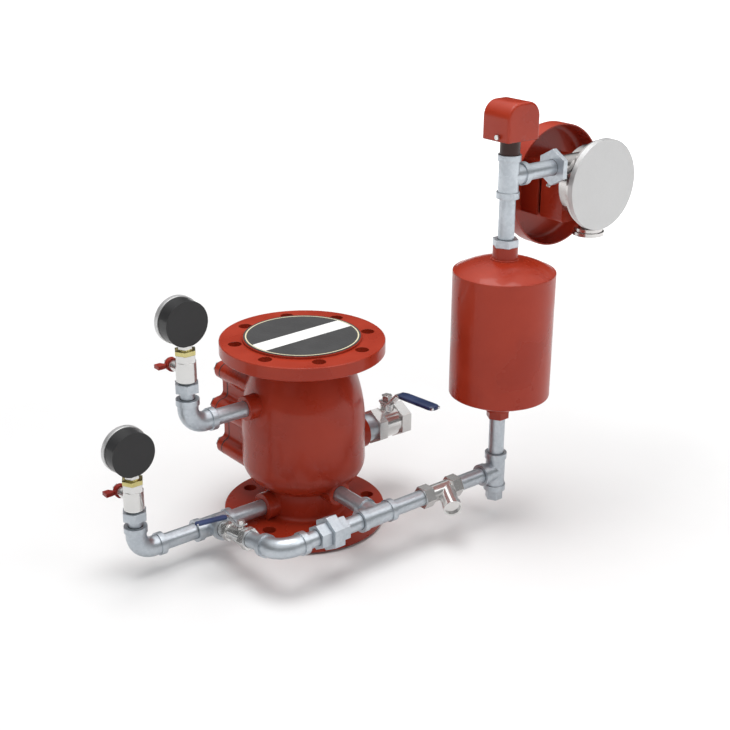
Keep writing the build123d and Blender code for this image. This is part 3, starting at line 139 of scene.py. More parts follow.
def math_node(tree, operation, *values):
    """One sum of the given kind, from sockets or plain numbers."""
    node = tree.nodes.new("ShaderNodeMath")
    node.operation = operation
    for socket, value in zip(node.inputs, values):
        feed(tree, socket, value)
    return node.outputs[0]


def noise_node(tree, vector, scale, detail, roughness=0.5):
    """Smooth noise over the given places."""
    node = tree.nodes.new("ShaderNodeTexNoise")
    feed(tree, node.inputs["Vector"], vector)
    feed(tree, node.inputs["Scale"], scale)
    node.inputs["Detail"].default_value = detail
    node.inputs["Roughness"].default_value = roughness
    return node.outputs["Fac"]


def spread(tree, value, low, high, start=0.0, end=1.0):
    """Value stretched smoothly from low..high to start..end and held there."""
    node = tree.nodes.new("ShaderNodeMapRange")
    node.interpolation_type = "SMOOTHSTEP"
    feed(tree, node.inputs["Value"], value)
    node.inputs["From Min"].default_value = low
    node.inputs["From Max"].default_value = high
    node.inputs["To Min"].default_value = start
    node.inputs["To Max"].default_value = end
    return node.outputs["Result"]


def blend_colours(tree, mask, first, second):
    """Two colours, sockets or plain triples, mixed by a mask."""
    node = tree.nodes.new("ShaderNodeMix")
    node.data_type = "RGBA"
    feed(tree, node.inputs["Factor"], mask)
    feed(tree, node.inputs[6], first)
    feed(tree, node.inputs[7], second)
    return node.outputs[2]


def object_place(tree):
    """Places measured on the object itself."""
    return tree.nodes.new("ShaderNodeTexCoord").outputs["Object"]


def separate_place(tree):
    """The same places, taken apart into X, Y and Z."""
    place = tree.nodes.new("ShaderNodeSeparateXYZ")
    tree.links.new(object_place(tree), place.inputs[0])
    return place.outputs


# Effects that several finishes share
def new_group(name, inputs, outputs):
    """Empty node group with named sockets: (kind, name, default) going in, (kind, name) coming out."""
    group = bpy.data.node_groups.new(name, "ShaderNodeTree")
    for kind, label, default in inputs:
        socket = group.interface.new_socket(label, in_out="INPUT", socket_type="NodeSocket" + kind)
        socket.default_value = default
    for kind, label in outputs:
        group.interface.new_socket(label, in_out="OUTPUT", socket_type="NodeSocket" + kind)
    return group, group.nodes.new("NodeGroupInput"), group.nodes.new("NodeGroupOutput")


def cloud_group():
    """Slow drift between a deep and a pale colour, with a mask of its own."""
    inputs = (
        ("Float", "Scale", 12.0),
        ("Color", "Deep", (0.2, 0.2, 0.2, 1)),
        ("Color", "Pale", (0.8, 0.8, 0.8, 1)),
    )
    group, inside, outside = new_group("cloud", inputs, (("Color", "Colour"), ("Float", "Mask")))
    drift = noise_node(group, object_place(group), inside.outputs["Scale"], detail=5, roughness=0.55)
    mask = spread(group, drift, low=0.32, high=0.68)
    colour = blend_colours(group, mask, inside.outputs["Deep"], inside.outputs["Pale"])
    group.links.new(colour, outside.inputs["Colour"])
    group.links.new(mask, outside.inputs["Mask"])
    return group


def skin_group():
    """Paint skin: a long casting wave under a fine orange-peel ripple."""
    wave_share = 2.2
    inputs = (("Float", "Ripple", 420.0), ("Float", "Wave", 38.0))
    group, inside, outside = new_group("skin", inputs, (("Float", "Height"),))
    place = object_place(group)
    ripple = noise_node(group, place, inside.outputs["Ripple"], detail=2)
    wave = noise_node(group, place, inside.outputs["Wave"], detail=2)
    height = math_node(group, "MULTIPLY_ADD", wave, wave_share, ripple)
    group.links.new(height, outside.inputs["Height"])
    return group


def edge_group():
    """Rounded look of a sharp edge, and a mask of where that edge is."""
    inputs = (("Float", "Radius", 0.0006),)
    group, inside, outside = new_group("edge", inputs, (("Vector", "Normal"), ("Float", "Mask")))
    bevel = group.nodes.new("ShaderNodeBevel")
    bevel.samples = 4
    group.links.new(inside.outputs["Radius"], bevel.inputs["Radius"])
    geometry = group.nodes.new("ShaderNodeNewGeometry")
    compare = group.nodes.new("ShaderNodeVectorMath")
    compare.operation = "DOT_PRODUCT"
    group.links.new(bevel.outputs["Normal"], compare.inputs[0])
    group.links.new(geometry.outputs["Normal"], compare.inputs[1])
    mask = spread(group, compare.outputs["Value"], low=0.99, high=0.8)
    group.links.new(bevel.outputs["Normal"], outside.inputs["Normal"])
    group.links.new(mask, outside.inputs["Mask"])
    return group


def grain_group():
    """Drawn or turned lines: noise stretched along one direction."""
    inputs = (("Vector", "Stretch", (40.0, 900.0, 900.0)),)
    group, inside, outside = new_group("grain", inputs, (("Float", "Height"), ("Float", "Mask")))
    stretched = group.nodes.new("ShaderNodeVectorMath")
    stretched.operation = "MULTIPLY"
    group.links.new(object_place(group), stretched.inputs[0])
    group.links.new(inside.outputs["Stretch"], stretched.inputs[1])
    lines = noise_node(group, stretched.outputs["Vector"], scale=1.0, detail=3, roughness=0.6)
    group.links.new(lines, outside.inputs["Height"])
    group.links.new(spread(group, lines, low=0.35, high=0.65), outside.inputs["Mask"])
    return group


def spangle_group():
    """Zinc crystals: cells of slightly different grey with soft borders."""
    cell_share = 0.45
    inputs = (("Float", "Scale", 260.0),)
    group, inside, outside = new_group("spangle", inputs, (("Float", "Mask"), ("Float", "Height")))
    place = object_place(group)
    cells = group.nodes.new("ShaderNodeTexVoronoi")
    group.links.new(place, cells.inputs["Vector"])
    group.links.new(inside.outputs["Scale"], cells.inputs["Scale"])
    grey = group.nodes.new("ShaderNodeRGBToBW")
    group.links.new(cells.outputs["Color"], grey.inputs[0])
    drift = noise_node(group, place, scale=30.0, detail=4)
    mixed = math_node(group, "MULTIPLY_ADD", grey.outputs[0], cell_share, drift)
    group.links.new(spread(group, mixed, low=0.4, high=1.05), outside.inputs["Mask"])
    group.links.new(noise_node(group, place, scale=700.0, detail=3), outside.inputs["Height"])
    return group


cloud = cloud_group()
skin = skin_group()
edge = edge_group()
grain = grain_group()
spangle = spangle_group()


def place_group(tree, group, **values):
    """A shared effect set into a finish with that finish's own values."""
    node = tree.nodes.new("ShaderNodeGroup")
    node.node_tree = group
    for name, value in values.items():
        node.inputs[name].default_value = (*value, 1) if name in ("Deep", "Pale") else value
    return node


# Finishes
def new_finish(name):
    """Empty material with its node tree and its shader."""
    material = bpy.data.materials.new(name)
    material.use_nodes = True
    tree = material.node_tree
    return material, tree, tree.nodes["Principled BSDF"]


def vary_roughness(tree, shader, mask, low, high):
    """Roughness that follows a mask."""
    tree.links.new(spread(tree, mask, 0, 1, low, high), shader.inputs["Roughness"])


def raise_surface(tree, shader, height, depth, normal=None):
    """Bump of the given depth in metres under the shader."""
    bump = tree.nodes.new("ShaderNodeBump")
    bump.inputs["Distance"].default_value = depth
    tree.links.new(height, bump.inputs["Height"])
    if normal is not None:
        tree.links.new(normal, bump.inputs["Normal"])
    tree.links.new(bump.outputs["Normal"], shader.inputs["Normal"])


def neck_primer(tree):
    """Mask of the painted shade on the neck under the pressure switch, between the tee and the cover, where
    the cover shades it.
    """
    bottom = TEE_TOP / 1000
    top = SWITCH_BOTTOM / 1000
    side = 0.235
    fade = 0.0002
    place = separate_place(tree)
    above = spread(tree, place["Z"], bottom - fade, bottom + fade)
    below = spread(tree, place["Z"], top + 2 * fade, top)
    near = spread(tree, place["X"], side + 5 * fade, side - 5 * fade)
    return math_node(tree, "MULTIPLY", math_node(tree, "MULTIPLY", above, below), near)


def painted(name, deep, pale, worn_and_highlit_edge, rough, coat, ripple=420.0, depth=0.00006, radius=0.0012, neck_shade_colour=None):
    """Enamel over metal: drifting colour, paler at the edges from wear and a painted highlight, orange peel
    and a clear gloss.
    """
    material, tree, shader = new_finish(name)
    colour = place_group(tree, cloud, Scale=14.0, Deep=deep, Pale=pale)
    rim = place_group(tree, edge, Radius=radius)
    # Edges paler in colour: partly wear, partly a painted highlight.
    edge_wear_and_highlight = math_node(tree, "MULTIPLY", rim.outputs["Mask"], 0.35)
    coloured = blend_colours(tree, edge_wear_and_highlight, colour.outputs["Colour"], worn_and_highlit_edge)
    # Painted shade: the neck under the switch cover is darkened in the colour.
    if neck_shade_colour:
        coloured = blend_colours(tree, neck_primer(tree), coloured, neck_shade_colour)
    tree.links.new(coloured, shader.inputs["Base Color"])
    vary_roughness(tree, shader, colour.outputs["Mask"], rough - 0.05, rough + 0.06)
    shader.inputs["Coat Weight"].default_value = coat
    shader.inputs["Coat Roughness"].default_value = 0.06
    shader.inputs["Specular IOR Level"].default_value = 0.2
    peel = place_group(tree, skin, Ripple=ripple)
    raise_surface(tree, shader, peel.outputs["Height"], depth, rim.outputs["Normal"])
    return material


def metal(name, deep, pale, rough, stretch=(40.0, 900.0, 900.0), drift=22.0, depth=0.00002, metallic=1.0):
    """Bare or plated metal: drifting tone, fine lines, rounded edges made lighter in colour as a painted
    highlight.
    """
    material, tree, shader = new_finish(name)
    colour = place_group(tree, cloud, Scale=drift, Deep=deep, Pale=pale)
    rim = place_group(tree, edge, Radius=0.0005)
    lines = place_group(tree, grain, Stretch=stretch)
    # Painted highlight: the edge colour is a lighter copy of the pale tone.
    edge_highlight = tuple(min(1, 1.15 * tone) for tone in pale)
    coloured = blend_colours(tree, rim.outputs["Mask"], colour.outputs["Colour"], edge_highlight)
    tree.links.new(coloured, shader.inputs["Base Color"])
    vary_roughness(tree, shader, lines.outputs["Mask"], rough * 0.8, rough * 1.25)
    shader.inputs["Metallic"].default_value = metallic
    raise_surface(tree, shader, lines.outputs["Height"], depth, rim.outputs["Normal"])
    return material


def galvanised():
    """Hot-dip zinc: spangle in tone and roughness, softly lumpy skin, edges lighter in colour as a painted
    highlight.
    """
    material, tree, shader = new_finish("galvanised")
    crystals = place_group(tree, spangle, Scale=300.0)
    rim = place_group(tree, edge, Radius=0.0009)
    zinc = blend_colours(tree, crystals.outputs["Mask"], (0.45, 0.49, 0.53), (0.53, 0.57, 0.61))
    # Painted highlight: the edges are mixed towards a lighter zinc colour.
    coloured = blend_colours(tree, rim.outputs["Mask"], zinc, (0.6, 0.63, 0.66))
    tree.links.new(coloured, shader.inputs["Base Color"])
    vary_roughness(tree, shader, crystals.outputs["Mask"], 0.42, 0.36)
    shader.inputs["Metallic"].default_value = 0.85
    raise_surface(tree, shader, crystals.outputs["Height"], 0.000025, rim.outputs["Normal"])
    return material


def moulded(name, deep, pale, rough, ripple=1200.0):
    """Rubber, vinyl or plastic: nearly even colour with a fine matt texture."""
    material, tree, shader = new_finish(name)
    colour = place_group(tree, cloud, Scale=30.0, Deep=deep, Pale=pale)
    tree.links.new(colour.outputs["Colour"], shader.inputs["Base Color"])
    vary_roughness(tree, shader, colour.outputs["Mask"], rough - 0.05, rough + 0.08)
    rim = place_group(tree, edge, Radius=0.0006)
    texture = place_group(tree, skin, Ripple=ripple, Wave=90.0)
    raise_surface(tree, shader, texture.outputs["Height"], 0.00004, rim.outputs["Normal"])
    return material


def outlet_print():
    """Printed round board: dark field, pale band across its middle and a thin gold ring near its rim."""
    band_turn = 0.045
    band_shift = 0.0009
    band_half = 0.014
    field_radius = 0.073
    ring_inner = 0.0734
    ring_outer = 0.0752
    fade = 0.0001
    material, tree, shader = new_finish("outlet_print")
    place = separate_place(tree)
    x, y = place["X"], place["Y"]
    squares = math_node(tree, "ADD", math_node(tree, "POWER", x, 2.0), math_node(tree, "POWER", y, 2.0))
    radius = math_node(tree, "SQRT", squares)
    turned_y = math_node(tree, "SUBTRACT", y, math_node(tree, "MULTIPLY", x, band_turn))
    across = math_node(tree, "ABSOLUTE", math_node(tree, "ADD", turned_y, band_shift))
    near = spread(tree, across, band_half + fade, band_half - fade)
    within = spread(tree, radius, field_radius + fade, field_radius - fade)
    past_inner = spread(tree, radius, ring_inner - fade, ring_inner + fade)
    before_outer = spread(tree, radius, ring_outer + fade, ring_outer - fade)
    band = math_node(tree, "MULTIPLY", near, within)
    ring = math_node(tree, "MULTIPLY", past_inner, before_outer)
    field = place_group(tree, cloud, Scale=40.0, Deep=(0.046, 0.046, 0.047), Pale=(0.056, 0.056, 0.057))
    banded = blend_colours(tree, band, field.outputs["Colour"], (0.86, 0.86, 0.85))
    tree.links.new(blend_colours(tree, ring, banded, (0.72, 0.66, 0.45)), shader.inputs["Base Color"])
    fibre = place_group(tree, grain, Stretch=(500.0, 120.0, 120.0))
    vary_roughness(tree, shader, fibre.outputs["Mask"], 0.42, 0.52)
    raise_surface(tree, shader, fibre.outputs["Height"], 0.00002)
    return material


def glass():
    """Clear flat window, faintly reflective."""
    material, tree, shader = new_finish("window")
    colour = place_group(tree, cloud, Scale=50.0, Deep=(0.93, 0.96, 0.97), Pale=(0.98, 0.99, 1.0))
    tree.links.new(colour.outputs["Colour"], shader.inputs["Base Color"])
    shader.inputs["Roughness"].default_value = 0.02
    shader.inputs["Transmission Weight"].default_value = 1.0
    shader.inputs["IOR"].default_value = 1.2
    return material


def perforated():
    """Strainer sheet with rows of round holes shown as dark spots of painted shade."""
    material, tree, shader = new_finish("mesh_steel")
    cells = tree.nodes.new("ShaderNodeTexVoronoi")
    cells.inputs["Scale"].default_value = 520.0
    cells.inputs["Randomness"].default_value = 0.0
    tree.links.new(object_place(tree), cells.inputs["Vector"])
    sheet = spread(tree, cells.outputs["Distance"], low=0.3, high=0.36)
    # Painted shade: each hole is a dark spot where light would pass through the sheet.
    coloured = blend_colours(tree, sheet, (0.04, 0.04, 0.04), (0.6, 0.6, 0.6))
    tree.links.new(coloured, shader.inputs["Base Color"])
    tree.links.new(sheet, shader.inputs["Metallic"])
    vary_roughness(tree, shader, sheet, 0.8, 0.3)
    raise_surface(tree, shader, sheet, 0.0002)
    return material


EVEN_GRAIN = (2600.0, 2600.0, 2600.0)
finishes = {
    "red_paint": painted(
        "red_paint",
        deep=(0.33, 0.028, 0.011),
        pale=(0.385, 0.037, 0.015),
        worn_and_highlit_edge=(0.46, 0.08, 0.05),
        rough=0.3,
        coat=0.17,
        # Colour of the painted shade on the neck under the switch cover
        neck_shade_colour=(0.045, 0.013, 0.009),
    ),
    "lever_red": painted(
        "lever_red",
        deep=(0.25, 0.016, 0.01),
        pale=(0.32, 0.028, 0.016),
        worn_and_highlit_edge=(0.42, 0.08, 0.06),
        rough=0.36,
        coat=0.2,
        ripple=700.0,
        depth=0.00003,
        radius=0.0005,
    ),
    "gauge_black": painted(
        "gauge_black",
        deep=(0.025, 0.025, 0.026),
        pale=(0.031, 0.031, 0.032),
        worn_and_highlit_edge=(0.1, 0.1, 0.1),
        rough=0.42,
        coat=0.2,
        ripple=900.0,
        depth=0.00003,
        radius=0.0006,
    ),
    "dial_white": painted(
        "dial_white",
        deep=(0.78, 0.78, 0.76),
        pale=(0.84, 0.84, 0.82),
        worn_and_highlit_edge=(0.85, 0.85, 0.84),
        rough=0.5,
        coat=0.1,
        ripple=1400.0,
        depth=0.00001,
        radius=0.0002,
    ),
    "pointer_black": painted(
        "pointer_black",
        deep=(0.012, 0.012, 0.012),
        pale=(0.02, 0.02, 0.02),
        worn_and_highlit_edge=(0.06, 0.06, 0.06),
        rough=0.5,
        coat=0.1,
        ripple=1400.0,
        depth=0.00001,
        radius=0.0002,
    ),
    "galvanised": galvanised(),
    "nickel": metal("nickel", (0.66, 0.655, 0.645), (0.73, 0.725, 0.715), 0.15, metallic=0.75),
    "zinc_bolts": metal("zinc_bolts", (0.55, 0.56, 0.55), (0.7, 0.71, 0.69), 0.3),
    "stainless": metal("stainless", (0.57, 0.565, 0.56), (0.68, 0.675, 0.67), 0.2),
    "lever_steel": metal("lever_steel", (0.6, 0.61, 0.62), (0.74, 0.75, 0.76), 0.24, (60.0, 60.0, 900.0)),
    "motor_alloy": metal(
        "motor_alloy", (0.54, 0.52, 0.51), (0.57, 0.55, 0.54), 0.2, EVEN_GRAIN, drift=8.0, depth=0.000002
    ),
    "plate_grey": metal(
        "plate_grey", (0.62, 0.62, 0.62), (0.63, 0.63, 0.63), 0.55, EVEN_GRAIN, drift=18.0, depth=0.000002
    ),
    "gauge_brass": metal("gauge_brass", (0.5, 0.43, 0.17), (0.62, 0.56, 0.27), 0.26),
    "bronze": metal("bronze", (0.46, 0.29, 0.13), (0.62, 0.43, 0.22), 0.34),
    "mesh_steel": perforated(),
    "rubber_black": moulded("rubber_black", (0.018, 0.018, 0.018), (0.03, 0.03, 0.03), 0.7),
    "switch_black": moulded("switch_black", (0.025, 0.025, 0.027), (0.038, 0.038, 0.04), 0.45),
    "sleeve_blue": moulded("sleeve_blue", (0.017, 0.032, 0.1), (0.026, 0.048, 0.14), 0.36, ripple=600.0),
    "outlet_print": outlet_print(),
    "window": glass(),
}
for part in frame["record"]["subparts"]:
    surface = nodes[part["node"]].data
    surface.materials.clear()
    surface.materials.append(finishes[part["material_slot"]])
# Light falls through the gauge windows onto the dials
nodes["gauge_windows"].visible_shadow = False


# Making surfaces
def finish_piece(name, mesh, body, slot):
    """Object at the origin from a finished mesh, in its finish, riding on its body."""
    mesh.materials.append(finishes[slot])
    piece = bpy.data.objects.new(name, mesh)
    bpy.context.scene.collection.objects.link(piece)
    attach(piece, body)
    return piece


def build(name, grids, body, slot, close_rows=True, close_columns=True, wall=0.0):
    """One named piece from grids of points; a closed way joins its last line of points to its first.
    Poles and seams are merged, faces are turned outward, and an open sheet may get a wall."""
    points, faces, start = [], [], 0
    for grid in grids:
        rows, columns = grid.shape[:2]
        row_count = rows if close_rows else rows - 1
        column_count = columns if close_columns else columns - 1
        i, j = np.meshgrid(np.arange(row_count), np.arange(column_count), indexing="ij")
        k, m = (i + 1) % rows, (j + 1) % columns
        quads = np.stack([i * columns + j, k * columns + j, k * columns + m, i * columns + m], axis=-1)
        points.append(grid.reshape(-1, 3) / 1000)
        faces.append(quads.reshape(-1, 4) + start)
        start += rows * columns
    mesh = bpy.data.meshes.new(name)
    mesh.from_pydata(np.concatenate(points).tolist(), [], np.concatenate(faces).tolist())
    merged = bmesh.new()
    merged.from_mesh(mesh)
    bmesh.ops.remove_doubles(merged, verts=merged.verts, dist=2e-6)
    bmesh.ops.recalc_face_normals(merged, faces=merged.faces)
    merged.to_mesh(mesh)
    merged.free()
    mesh.polygons.foreach_set("use_smooth", np.ones(len(mesh.polygons), bool))
    mesh.set_sharp_from_angle(angle=math.radians(35))
    piece = finish_piece(name, mesh, body, slot)
    if wall:
        solid = piece.modifiers.new("wall", "SOLIDIFY")
        solid.thickness = wall / 1000
        solid.offset = -1
    return piece


def turned(centre, way, profile, count=64):
    """Profile of (radius, distance along the way) carried round the axis: centre + along * way +
    radius * (cos, sin) of the turn."""
    axis = np.array(way, float) / np.linalg.norm(way)
    first = np.cross(axis, (0.3, 0.5, 0.81))
    first /= np.linalg.norm(first)
    second = np.cross(axis, first)
    turn = np.linspace(0, 2 * np.pi, count, endpoint=False)[:, None]
    around = np.cos(turn) * first + np.sin(turn) * second
    radius, along = np.array(profile, float).T
    out = radius[None, :, None] * around[:, None, :]
    return np.array(centre, float) + out + along[None, :, None] * axis


def bead(centre, way, radius, thick, count=64, sides=10):
    """Ring of round section: the turned profile is a small circle at the radius."""
    section = np.linspace(0, 2 * np.pi, sides, endpoint=False)
    profile = np.stack([radius + thick * np.cos(section), thick * np.sin(section)], -1)
    return turned(centre, way, profile, count)


def weld(height, radius, thick, ripples):
    """Weld bead round the retard column: a ring whose section swells and shrinks with a sine that leans
    along the section, so that it looks like overlapping scales."""
    count, sides = 288, 12
    ring = bead((0, 0, 0), (0, 0, 1), radius, thick, count, sides)
    core = bead((0, 0, 0), (0, 0, 1), radius, 0.0, count, sides)
    turn = np.linspace(0, 2 * np.pi, count, endpoint=False)[:, None, None]
    section = np.linspace(0, 2 * np.pi, sides, endpoint=False)[None, :, None]
    swell = 1 + 0.16 * np.sin(ripples * turn + 1.3 * np.cos(section))
    return np.array((COLUMN_X, ALARM_Y, height)) + core + (ring - core) * swell


# The test valve's branch runs from the supply tee to the alarm elbow
branch_start = np.array((BRANCH_X, 0.0, SUPPLY_Z))
branch_end = np.array((BRANCH_X, ALARM_Y, ALARM_Z))
branch_length = np.linalg.norm(branch_end - branch_start)
branch_way = (branch_end - branch_start) / branch_length

# Dark rings of painted shade where each pipe enters its fitting, and round the necks of the gauge bushes
supply_entries = (-70, -121, -177, -225)
upper_entries = (-94, -141)
branch_entries = (28, 92, branch_length - 37)
alarm_entries = (-112, -95, -51.5, -26, 28, 78, 142, 186)
port_x = 1
port_entries = (-128, -79)
column_entries = (38, 94, 147, 398, 452)
motor_entries = (242, 292)
entries = [((x, 0, SUPPLY_Z), ALONG_X) for x in supply_entries]
entries += [((x, 0, UPPER_LINE_Z), ALONG_X) for x in upper_entries]
entries += [(branch_start + reach * branch_way, branch_way) for reach in branch_entries]
entries += [((x, ALARM_Y, ALARM_Z), ALONG_X) for x in alarm_entries]
entries += [((port_x, y, ALARM_Z), ALONG_Y) for y in port_entries]
entries += [((COLUMN_X, ALARM_Y, z), ALONG_Z) for z in column_entries]
entries += [((x, ALARM_Y, MOTOR_LINE_Z), ALONG_X) for x in motor_entries]
# Each ring is a thin dark bead that stands in for the shadow in the gap.
entry_shade_rings = [bead(place, way, PIPE / 2, thick=0.32) for place, way in entries]
bush_necks = [(LOWER_GAUGE_X, 0, SUPPLY_Z + BUSH_RISE), (UPPER_GAUGE_X, 0, UPPER_LINE_Z + BUSH_RISE)]
entry_shade_rings += [bead(place, ALONG_Z, BUSH_NECK_RADIUS, thick=0.5) for place in bush_necks]
build("pipe_entry_shade_rings", entry_shade_rings, "valve", "rubber_black")

# Weld beads of the retard chamber, just inside both rims and round both socket roots
rim_weld = {"radius": CHAMBER_RADIUS - 0.9, "thick": 0.78, "ripples": 150}
root_weld = {"radius": SOCKET_RADIUS + 0.4, "thick": 1.6, "ripples": 44}
build(
    "chamber_welds",
    [
        weld(CHAMBER_BOTTOM - 0.35, **rim_weld),
        weld(CHAMBER_TOP + 0.35, **rim_weld),
        weld(CHAMBER_TOP + DOME_RISE, **root_weld),
        weld(CHAMBER_BOTTOM - DOME_RISE, **root_weld),
    ],
    "valve",
    "red_paint",
)

# Rolled rim of the gong
gong_rim = bead((MOTOR_X, GONG_RIM_Y, GONG_Z), ALONG_Y, GONG_RIM_RADIUS, thick=1.05, count=160)
build("gong_rim", [gong_rim], "valve", "red_paint")


# Lever sleeves
def grip(start, end, side, width, thickness):
    """Dipped sleeve from start to end. Its sections are superellipses. Near each end their width
    follows a quarter circle, their thickness stays fuller, and a low lip rings the mouth."""
    stations, around = 48, 28
    flatness = 2 / 3
    fullness = 0.45
    lip_rise, lip_place, lip_length = 0.12, 3.5, 1.4
    start, end, side = (np.array(v, float) for v in (start, end, side))
    run = end - start
    length = np.linalg.norm(run)
    run /= length
    over = np.cross(side, run)
    half = width / 2
    swing = half * np.sin(np.linspace(-np.pi / 2, np.pi / 2, stations))
    reach = np.concatenate([swing[: stations // 2], swing[stations // 2 :] + length])
    low = np.clip(-reach / half, 0, 1)
    high = np.clip((reach - length) / half, 0, 1)
    narrow = np.sqrt(np.clip(1 - np.maximum(low, high) ** 2, 0, 1))
    lip = 1 + lip_rise * np.exp(-(((reach + half - lip_place) / lip_length) ** 2))
    thin = narrow**fullness * lip
    turn = np.linspace(0, 2 * np.pi, around, endpoint=False)[None, :, None]
    flat = np.sign(np.cos(turn)) * np.abs(np.cos(turn)) ** flatness
    tall = np.sign(np.sin(turn)) * np.abs(np.sin(turn)) ** flatness
    across = (narrow * half)[:, None, None] * flat * side
    upward = (thin * thickness / 2)[:, None, None] * tall * over
    return start + reach[:, None, None] * run + across + upward


def on_branch(reach, away, rise):
    """Point of the test valve's lever: reach along the branch, away towards -X, rise square to both."""
    up = np.cross(branch_way, ALONG_X)
    return branch_start + reach * branch_way + np.array((-away, 0, 0)) + rise * up


test_mouth = on_branch(reach=73, away=25, rise=33.7)
test_tip = on_branch(reach=73, away=59, rise=36.6)
test_grip = grip(test_mouth, test_tip, branch_way, width=11.8, thickness=5.2)
test_sleeve = build("test_sleeve", [test_grip], "test_valve", "sleeve_blue", close_rows=False)
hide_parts("test_valve_sleeve")
drain_mouth = (147, -38.5, 154.8)
drain_tip = (147, -95.5, 158.5)
drain_grip = grip(drain_mouth, drain_tip, ALONG_X, width=18.8, thickness=7.2)
drain_sleeve = build("drain_sleeve", [drain_grip], "drain_valve", "sleeve_blue", close_rows=False)
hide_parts("drain_valve_sleeve")


# Pressure switch cover with rounded edges
def arched_shell(half, depth, height, bend, soft):
    """Open-bottomed cover. Its outline has straight legs, quarter circles of the bend and a flat crown.
    Near the front and back the outline moves inward by the soft edge's quarter circle, then closes."""
    legs = np.linspace(0, height - bend, 12)[:-1]
    arc = np.linspace(0, np.pi / 2, 16)
    crown = np.linspace(half - bend, bend - half, 8)[1:-1]
    mirror = np.array((-1, 1))
    curl = np.stack([np.cos(arc), np.sin(arc)], -1)
    leg = np.stack([np.full(len(legs), half), legs], -1)
    corner = np.array((half - bend, height - bend)) + bend * curl
    top = np.stack([crown, np.full(len(crown), height)], -1)
    outline = np.concatenate([leg, corner, top, (corner * mirror)[::-1], (leg * mirror)[::-1]])
    sideways = np.tile((1.0, 0.0), (len(legs), 1))
    upward = np.tile((0.0, 1.0), (len(crown), 1))
    outward = np.concatenate([sideways, curl, upward, (curl * mirror)[::-1], sideways * mirror])
    quarter = np.linspace(0, np.pi / 2, 9)
    inset = soft * (1 - np.sin(quarter))
    inset = np.concatenate([inset, inset[::-1]])
    front_rows = -depth + soft - soft * np.cos(quarter)
    across = np.concatenate([front_rows, -front_rows[::-1]])
    rows = outline[None] - inset[:, None, None] * outward[None]
    shrink = np.linspace(0, 1, 6)[:-1]
    front = rows[:1] * shrink[:, None, None]
    back = rows[-1:] * shrink[::-1, None, None]
    flat = np.concatenate([front, rows, back])
    ends = np.full(len(shrink), depth)
    across = np.concatenate([-ends, across, ends])
    y = ALARM_Y + np.broadcast_to(across[:, None], flat.shape[:2])
    return np.stack([COLUMN_X + flat[..., 0], y, SWITCH_BOTTOM + flat[..., 1]], -1)


cover_shell = build(
    "switch_cover_shell",
    [arched_shell(half=27.5, depth=23.25, height=48.0, bend=20.0, soft=3.2)],
    "valve",
    "red_paint",
    close_rows=False,
    close_columns=False,
    wall=1.8,
)
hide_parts("switch_cover")


# Dials: scale arc, ticks and numbers
def dial_point(x, middle, radius, share, lift=0.0):
    """Place on the dial's face at a radius and a share of its scale, from lower left round."""
    turn = np.radians(SCALE_START + SCALE_SWEEP * np.asarray(share))
    radius = np.asarray(radius)
    flat = np.broadcast_arrays(x - radius * np.sin(turn), DIAL_FRONT + lift, middle + radius * np.cos(turn))
    return np.stack(flat, -1)


def dial_marks(x, middle):
    """Thin raised strokes: an arc band, then one bar for each half step, longer at every number."""
    arc_outer, arc_inner = 25.4, 25.0
    tick_outer, tick_middle = 25.2, 23.5
    long_tick = {"inner": 21.6, "half_width": 0.32}
    short_tick = {"inner": 23.4, "half_width": 0.16}
    sunk, raised = -0.2, 0.06
    lift = np.array((sunk, raised, raised, sunk))
    sides = np.array((-1, -1, 1, 1))
    share = np.linspace(0, 1, 121)[:, None]
    arc_radius = np.array((arc_outer, arc_outer, arc_inner, arc_inner))
    strokes = [dial_point(x, middle, arc_radius, share, lift)]
    ticks = 2 * SCALE_TOP
    for tick in range(ticks + 1):
        kind = long_tick if tick % 4 == 0 else short_tick
        half_share = np.degrees(kind["half_width"] / tick_middle) / SCALE_SWEEP
        radius = np.linspace(tick_outer, kind["inner"], 3)[:, None]
        strokes.append(dial_point(x, middle, radius, tick / ticks + half_share * sides, lift))
    return strokes


def dial_numbers(name, x, middle):
    """Even numbers beside the long ticks, as thin raised figures facing +Y."""
    figure_height, figure_lift, figure_radius = 5.2, 0.05, 17.4
    joined = bmesh.new()
    for number in range(0, SCALE_TOP + 1, 2):
        text = bpy.data.curves.new("figure", "FONT")
        text.body = str(number)
        text.align_x = text.align_y = "CENTER"
        text.size = figure_height / 1000
        text.extrude = figure_lift / 1000
        text.resolution_u = 3
        carrier = bpy.data.objects.new("figure", text)
        bpy.context.scene.collection.objects.link(carrier)
        bpy.context.view_layer.update()
        figure = bpy.data.meshes.new_from_object(carrier)
        bpy.data.objects.remove(carrier)
        spot = dial_point(x, middle, figure_radius, number / SCALE_TOP) / 1000
        figure.transform(Matrix(((-1, 0, 0, spot[0]), (0, 0, 1, spot[1]), (0, 1, 0, spot[2]), (0, 0, 0, 1))))
        joined.from_mesh(figure)
        bpy.data.meshes.remove(figure)
    mesh = bpy.data.meshes.new(name)
    joined.to_mesh(mesh)
    joined.free()
    finish_piece(name, mesh, "valve", "pointer_black")


